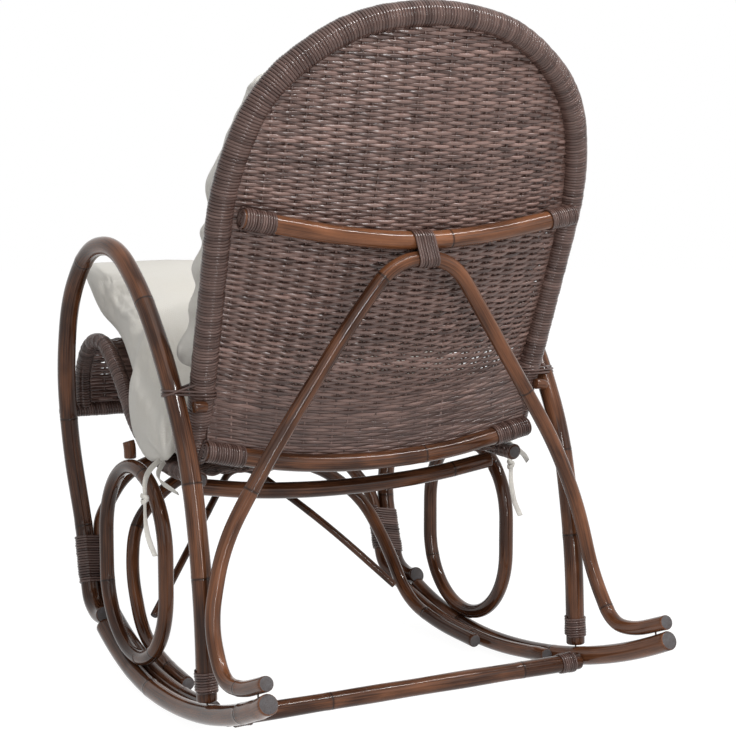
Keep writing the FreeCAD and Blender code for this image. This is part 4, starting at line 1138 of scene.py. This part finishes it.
# Zones of the seat cushion's changes: where each sets in and is full, then ebbs and ends
FRONT_FORWARD, FRONT_HIGHER, FRONT_WIDER = 0.020, 0.022, 0.025
FRONT_ZONE, TOP_ZONE = (0.24, 0.35), (0.53, 0.59)
WIDE_ZONE, WIDE_FLANK = (0.12, 0.17), (0.13, 0.22)
BULGE_ZONE, BULGE_FLANK = (-0.155, -0.115, 0.03, 0.06), (0.18, 0.232)
BULGE_MIDDLE = (-0.1, 0.02)
SIDE_SAG = 0.027
SAG_ZONE, SAG_FLANK = (-0.150, -0.100, 0.005, 0.045), (0.262, 0.276)
SAG_HEIGHT = (0.385, 0.46)
TIE_SEAM = (0.281, 0.004, 0.352)
PUCKERS = 8
PUCKER_DEPTH = 0.0055
PUCKER_REACH = 0.075
PUCKER_ZONE = (0.01, 0.03)
# Swells of the back cushion's edge past the rim: height, spread and push
BACK_SWELLS = ((0.936, 0.020, 0.016), (0.900, 0.010, 0.009), (0.872, 0.011, 0.009),
               (0.742, 0.028, 0.014), (0.678, 0.013, 0.012), (0.628, 0.026, 0.019),
               (0.575, 0.020, 0.016), (0.515, 0.028, 0.017))
BACK_SWELL = 0.017      # swell of the whole edge
BACK_WRINKLES = (8.0, 0.006)
BACK_EDGE = (0.13, 0.22)    # distances from the middle between which the edge sets in
SHOULDER = 0.45         # share of the rim's top height above which the edge swells upward too


def copied(node, name):
    """Editable copy of a node's mesh as a new piece."""
    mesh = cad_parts[node].data.copy()
    mesh.name = name
    mesh.materials.clear()
    return linked(name, mesh)


def applied(piece):
    """Bake a piece's modifiers into its mesh."""
    shown = piece.evaluated_get(bpy.context.evaluated_depsgraph_get())
    shape = bpy.data.meshes.new_from_object(shown)
    piece.modifiers.clear()
    piece.data = shape


def vertices_of(mesh):
    """Vertex places as an array."""
    points = np.empty(len(mesh.vertices) * 3, np.float32)
    mesh.vertices.foreach_get("co", points)
    return points.reshape(-1, 3).astype(float)


def set_vertices(mesh, points):
    """Write vertex places back."""
    mesh.vertices.foreach_set("co", points.astype(np.float32).ravel())
    mesh.update()


def mesh_normals(mesh):
    """Vertex normals as an array."""
    return np.array([tuple(vertex.normal) for vertex in mesh.vertices])


def inflate(piece, shrink):
    """Stuff a cushion: remesh, shrink, swell it as cloth under pressure, hold it within a cap."""
    fill = bpy.context.scene.cushion_fill
    remesh = piece.modifiers.new("cells", "REMESH")
    remesh.mode = "VOXEL"
    remesh.voxel_size = fill.voxel
    applied(piece)
    start = vertices_of(piece.data) - mesh_normals(piece.data) * shrink
    set_vertices(piece.data, start)
    cloth = piece.modifiers.new("stuffing", "CLOTH")
    cloth.settings.use_pressure = True
    cloth.settings.uniform_pressure_force = fill.pressure
    cloth.settings.effector_weights.gravity = 0.0
    cloth.settings.quality = 4
    cloth.settings.tension_stiffness = 12.0
    cloth.settings.compression_stiffness = 6.0
    cloth.settings.bending_stiffness = 0.4
    cloth.point_cache.frame_start = 1
    cloth.point_cache.frame_end = fill.frames
    for number in range(1, fill.frames + 1):
        bpy.context.scene.frame_set(number)
    applied(piece)
    bpy.context.scene.frame_set(1)
    moved = vertices_of(piece.data) - start
    far = np.linalg.norm(moved, axis=1, keepdims=True)
    set_vertices(piece.data, start + moved * np.minimum(1.0, STUFFING_CAP / np.maximum(far, 1e-9)))


def wrinkled(points, normals, scale, depth):
    """Push points along their normals by soft noise."""
    push = np.array([noise.noise(Vector(point) * scale) for point in points])
    return points + normals * (push * depth)[:, None]


def drape_seat(piece):
    """Let the seat cushion's rear sides sag outside the rails, with puckers round the ties."""
    points = vertices_of(piece.data)
    normals = mesh_normals(piece.data)
    for wrinkles in SEAT_WRINKLES:
        points = wrinkled(points, normals, *wrinkles)
    x, y, z = points.T
    side = np.sign(x)
    # The front stands wider, farther forward and higher
    front = smooth_step(*FRONT_ZONE, -y)
    tall = smooth_step(*TOP_ZONE, z)
    flank = smooth_step(*WIDE_FLANK, np.abs(x))
    x = x + side * FRONT_WIDER * smooth_step(*WIDE_ZONE, -y) * flank
    y = y - FRONT_FORWARD * front
    z = z + FRONT_HIGHER * front * tall
    # The rear sides bulge past the rails and hang down outside them
    rear = between(*BULGE_ZONE, y)
    widest = np.abs(x[(y > BULGE_MIDDLE[0]) & (y < BULGE_MIDDLE[1])]).max()
    x = x + side * (SEAT_REACH - widest) * rear * smooth_step(*BULGE_FLANK, np.abs(x))
    low = 1 - smooth_step(*SAG_HEIGHT, z)
    sag = between(*SAG_ZONE, y)
    z = z - SIDE_SAG * sag * low * smooth_step(*SAG_FLANK, np.abs(x))
    # Puckers run out from the ties' seam
    seam = np.stack([np.abs(x), y, z], 1) - TIE_SEAM
    far = np.linalg.norm(seam, axis=1)
    fold = np.sin(PUCKERS * np.arctan2(seam[:, 2], seam[:, 1]) + 1.0)
    fold = fold * np.exp(-(far / PUCKER_REACH) ** 2)
    pucker = PUCKER_DEPTH * fold * smooth_step(*PUCKER_ZONE, far)
    set_vertices(piece.data, np.stack([x, y, z], 1) + normals * pucker[:, None])


def drape_back(piece):
    """Let the back cushion's edge swell past the rim in soft uneven lobes."""
    points = vertices_of(piece.data)
    points = wrinkled(points, mesh_normals(piece.data), *BACK_WRINKLES)
    middle, up, _, rim = back_plane()
    swell = np.full(len(points), BACK_SWELL)
    for height, spread, push in BACK_SWELLS:
        swell = swell + push * np.exp(-((points[:, 2] - height) / spread) ** 2)
    shoulder = SHOULDER * rim[:, 1].max()
    outward = np.stack([points[:, 0], np.maximum((points - middle) @ up - shoulder, 0.0)], 1)
    edge = smooth_step(*BACK_EDGE, np.linalg.norm(outward, axis=1))
    shift = unit(outward) * (swell * edge)[:, None]
    set_vertices(piece.data, points + X_WAY * shift[:, :1] + up * shift[:, 1:])


def finish_cushion(piece, fill, *nodes):
    rounding = piece.modifiers.new("rounding", "SUBSURF")
    rounding.levels = rounding.render_levels = 1
    applied(piece)
    piece.data.shade_smooth()
    piece.data.materials.clear()
    piece.data.materials.append(cotton_finish())
    settle(piece, "cushion_cotton", *nodes)


# Operators

class TiesOperator(bpy.types.Operator):
    """Make the seat cushion's tape ties and their knots"""
    bl_idname = "rocking_chair.ties"
    bl_label = "Tape Ties"

    def execute(self, context):
        for side, sign in SIDES:
            knot = tie_knot(side, sign)
            for kind, route, length, extra in (("long", LONG_TIE, LONG_LENGTH, [knot]),
                                               ("short", SHORT_TIE, SHORT_LENGTH, [])):
                tape = tape_tie("%s_tie_%s" % (side, kind), route, sign)
            if side == "left":
                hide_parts("tie_knots")
        return {"FINISHED"}


class PolesOperator(bpy.types.Operator):
    """Make the rattan poles with their joints and sawn ends"""
    bl_idname = "rocking_chair.poles"
    bl_label = "Rattan Poles"

    def execute(self, context):
        for node in POLES:
            grow_pole(node)
        return {"FINISHED"}


class WrapsOperator(bpy.types.Operator):
    """Wind cane round the rim, the seat rails and the apron rail"""
    bl_idname = "rocking_chair.wraps"
    bl_label = "Cane Wrapping"

    def execute(self, context):
        for core in ("back_rim", "left_seat_rail", "right_seat_rail", "apron_rail"):
            wrapped(core + "_wrap", core)
        return {"FINISHED"}


class WeavesOperator(bpy.types.Operator):
    """Weave the back, the seat and the apron"""
    bl_idname = "rocking_chair.weaves"
    bl_label = "Cane Weave"

    def execute(self, context):
        row_pitch = context.scene.cane_sizes.row_pitch
        weave_back()
        weave_panel("seat_weave", row_pitch * SEAT_ROWS)
        weave_panel("apron_weave", row_pitch * APRON_ROWS)
        return {"FINISHED"}


class LashingsOperator(bpy.types.Operator):
    """Lash the joints with thin cane"""
    bl_idname = "rocking_chair.lashings"
    bl_label = "Lashings"

    def execute(self, context):
        lash_forks()
        lash_rear_legs()
        lash_bar("crossbar_lashings", "rear_crossbar", 0.011, 0.037, False)
        lash_bar("upper_bar_lashings", "upper_back_bar", 0.001, 0.046, True)
        lash_bar("lower_bar_lashings", "lower_back_bar", 0.001, 0.060, True)
        lash_brace()
        lash_arms()
        return {"FINISHED"}


class CushionsOperator(bpy.types.Operator):
    """Stuff the seat and back cushions"""
    bl_idname = "rocking_chair.cushions"
    bl_label = "Cushions"

    def execute(self, context):
        for node, shrink, drape, fill in (("seat_cushion", 0.007, drape_seat, 0.7),
                                          ("back_cushion", 0.006, drape_back, 0.6)):
            piece = copied(node, node + "_cotton")
            inflate(piece, shrink)
            drape(piece)
            finish_cushion(piece, fill, node)
        return {"FINISHED"}


class FasteningsOperator(bpy.types.Operator):
    """Finish the nails and the hidden dowels"""
    bl_idname = "rocking_chair.fastenings"
    bl_label = "Nails and Dowels"

    def execute(self, context):
        steel, tree, shader = principled("nail_steel", Metallic=1.0)
        rust = clouds(tree, own_place(tree), 400.0)
        colour = mixed(tree, ranged(tree, rust, 0.45, 0.65),
                       (0.18, 0.17, 0.16, 1), (0.09, 0.045, 0.025, 1))
        tree.links.new(colour, shader.inputs["Base Color"])
        tree.links.new(ranged(tree, rust, 0.3, 0.7, 0.35, 0.7), shader.inputs["Roughness"])
        wood, tree, shader = principled("dowel_wood", Roughness=0.7)
        grain = clouds(tree, own_place(tree), 150.0, 4.0)
        colour = mixed(tree, ranged(tree, grain, 0.35, 0.65),
                       (0.32, 0.19, 0.09, 1), (0.48, 0.31, 0.16, 1))
        tree.links.new(colour, shader.inputs["Base Color"])
        for node, finish in (("frame_nails", steel), ("splice_dowels", wood)):
            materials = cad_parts[node].data.materials
            materials.clear()
            materials.append(finish)
        return {"FINISHED"}


# Studio

FLOOR_RADIUS = 12.0
FLOOR_SIDES = 48
FLOOR_LEVEL = -0.0005
FLOOR_GREY = (0.62, 0.62, 0.62, 1)
FLOOR_GLOW = 1.26       # strength of the white that the camera sees on the floor
FLOOR_WHITE = 0.76      # share of that white; the rest keeps the shadow
LAMP_TARGET = (0, 0.05, 0.5)


def white_rays(tree):
    """One for the rays that see the white background: camera, glossy and transmission."""
    path = add_node(tree, "LightPath")
    seen = maths(tree, "MAXIMUM", path.outputs["Is Camera Ray"], path.outputs["Is Glossy Ray"])
    return maths(tree, "MAXIMUM", seen, path.outputs["Is Transmission Ray"])


def aimed(name, data, place, target):
    """Camera or lamp in its place, turned to a target."""
    made = linked(name, data)
    made.location = place
    way = Vector(target) - Vector(place)
    made.rotation_euler = way.to_track_quat("-Z", "Y").to_euler()
    return made


class StudioOperator(bpy.types.Operator):
    """Set the camera, the floor and the soft light"""
    bl_idname = "rocking_chair.studio"
    bl_label = "Studio"

    def execute(self, context):
        scene = context.scene
        setup = scene.studio_setup
        scene.view_settings.view_transform = "Standard"
        lens = bpy.data.cameras.new("photo_camera")
        lens.lens = setup.lens
        lens.sensor_width = 36.0
        scene.camera = aimed("photo_camera", lens, setup.camera, setup.target)
        self.floor()
        self.lamps(setup)
        world = bpy.data.worlds.new("studio_world")
        scene.world = world
        world.use_nodes = True
        tree = world.node_tree
        shade = tree.nodes["Background"]
        strength = maths(tree, "MULTIPLY", white_rays(tree), 1.0 - setup.world)
        strength = maths(tree, "ADD", strength, setup.world)
        shade.inputs["Color"].default_value = (1, 1, 1, 1)
        tree.links.new(strength, shade.inputs["Strength"])
        return {"FINISHED"}

    def floor(self):
        """Wide pale disc whose own colour goes to white for the camera and keeps the shadow."""
        turns = np.arange(FLOOR_SIDES) * 2 * math.pi / FLOOR_SIDES
        points = [(FLOOR_RADIUS * math.cos(turn), FLOOR_RADIUS * math.sin(turn), FLOOR_LEVEL)
                  for turn in turns]
        mesh = bpy.data.meshes.new("studio_floor")
        mesh.from_pydata(points, [], [range(FLOOR_SIDES)])
        floor = linked("studio_floor", mesh)
        made, tree, shader = principled("studio_floor", Base_Color=FLOOR_GREY, Roughness=0.9)
        glow = add_node(tree, "Emission", {"Color": (1, 1, 1, 1), "Strength": FLOOR_GLOW})
        white = maths(tree, "MULTIPLY", white_rays(tree), FLOOR_WHITE)
        mix = add_node(tree, "MixShader", {0: white, 1: shader.outputs[0], 2: glow.outputs[0]})
        tree.links.new(mix.outputs[0], tree.nodes["Material Output"].inputs["Surface"])
        mesh.materials.append(made)

    def lamps(self, setup):
        """Two narrow strips for the lacquer's highlights, and large soft lights round the chair."""
        for name, place, size, power in (
            ("strip_light", (0.5, 2.9, 0.95), (0.05, 1.9), setup.key),
            ("high_strip_light", (-0.7, 1.5, 2.6), (2.4, 0.07), setup.key * 1.7),
            ("soft_light", (1.9, 2.6, 1.5), (1.8, 1.8), setup.fill * 1.3),
            ("fill_light", (-1.9, 2.4, 1.3), (1.4, 1.4), setup.fill * 0.7),
            ("top_light", (0.4, 0.9, 2.9), (1.8, 1.8), setup.fill * 1.5),
        ):
            lamp = bpy.data.lights.new(name, "AREA")
            lamp.shape = "RECTANGLE"
            lamp.size, lamp.size_y = size
            lamp.energy = power
            aimed(name, lamp, place, LAMP_TARGET)


class ChairPanel(bpy.types.Panel):
    """Steps of the chair and their sizes"""
    bl_label = "Rocking Chair"
    bl_idname = "VIEW3D_PT_rocking_chair"
    bl_space_type = "VIEW_3D"
    bl_region_type = "UI"
    bl_category = "Rocking Chair"

    def draw(self, context):
        for key, _ in GROUP_CLASSES:
            group = getattr(context.scene, key)
            box = self.layout.box()
            for name in group.__annotations__:
                box.prop(group, name)
        for operator in OPERATORS:
            self.layout.operator(operator.bl_idname)


GROUP_CLASSES = (("pole_finish", PoleFinish), ("cane_sizes", CaneSizes),
                 ("cushion_fill", CushionFill), ("studio_setup", StudioSetup))
OPERATORS = (StudioOperator, TiesOperator, PolesOperator, WrapsOperator, WeavesOperator,
             LashingsOperator, CushionsOperator, FasteningsOperator)


def register():
    """Register the classes and hang the settings on the scene."""
    for name, group in GROUP_CLASSES:
        bpy.utils.register_class(group)
        setattr(bpy.types.Scene, name, PointerProperty(type=group))
    for item in OPERATORS + (ChairPanel,):
        bpy.utils.register_class(item)


def unregister():
    """Take the classes and settings away again."""
    for item in reversed(OPERATORS + (ChairPanel,)):
        bpy.utils.unregister_class(item)
    for name, group in reversed(GROUP_CLASSES):
        delattr(bpy.types.Scene, name)
        bpy.utils.unregister_class(group)


def main():
    """Register the classes and build the chair in order."""
    register()
    for operator in OPERATORS:
        family, name = operator.bl_idname.split(".")
        getattr(getattr(bpy.ops, family), name)()


if __name__ == "__main__":
    main()
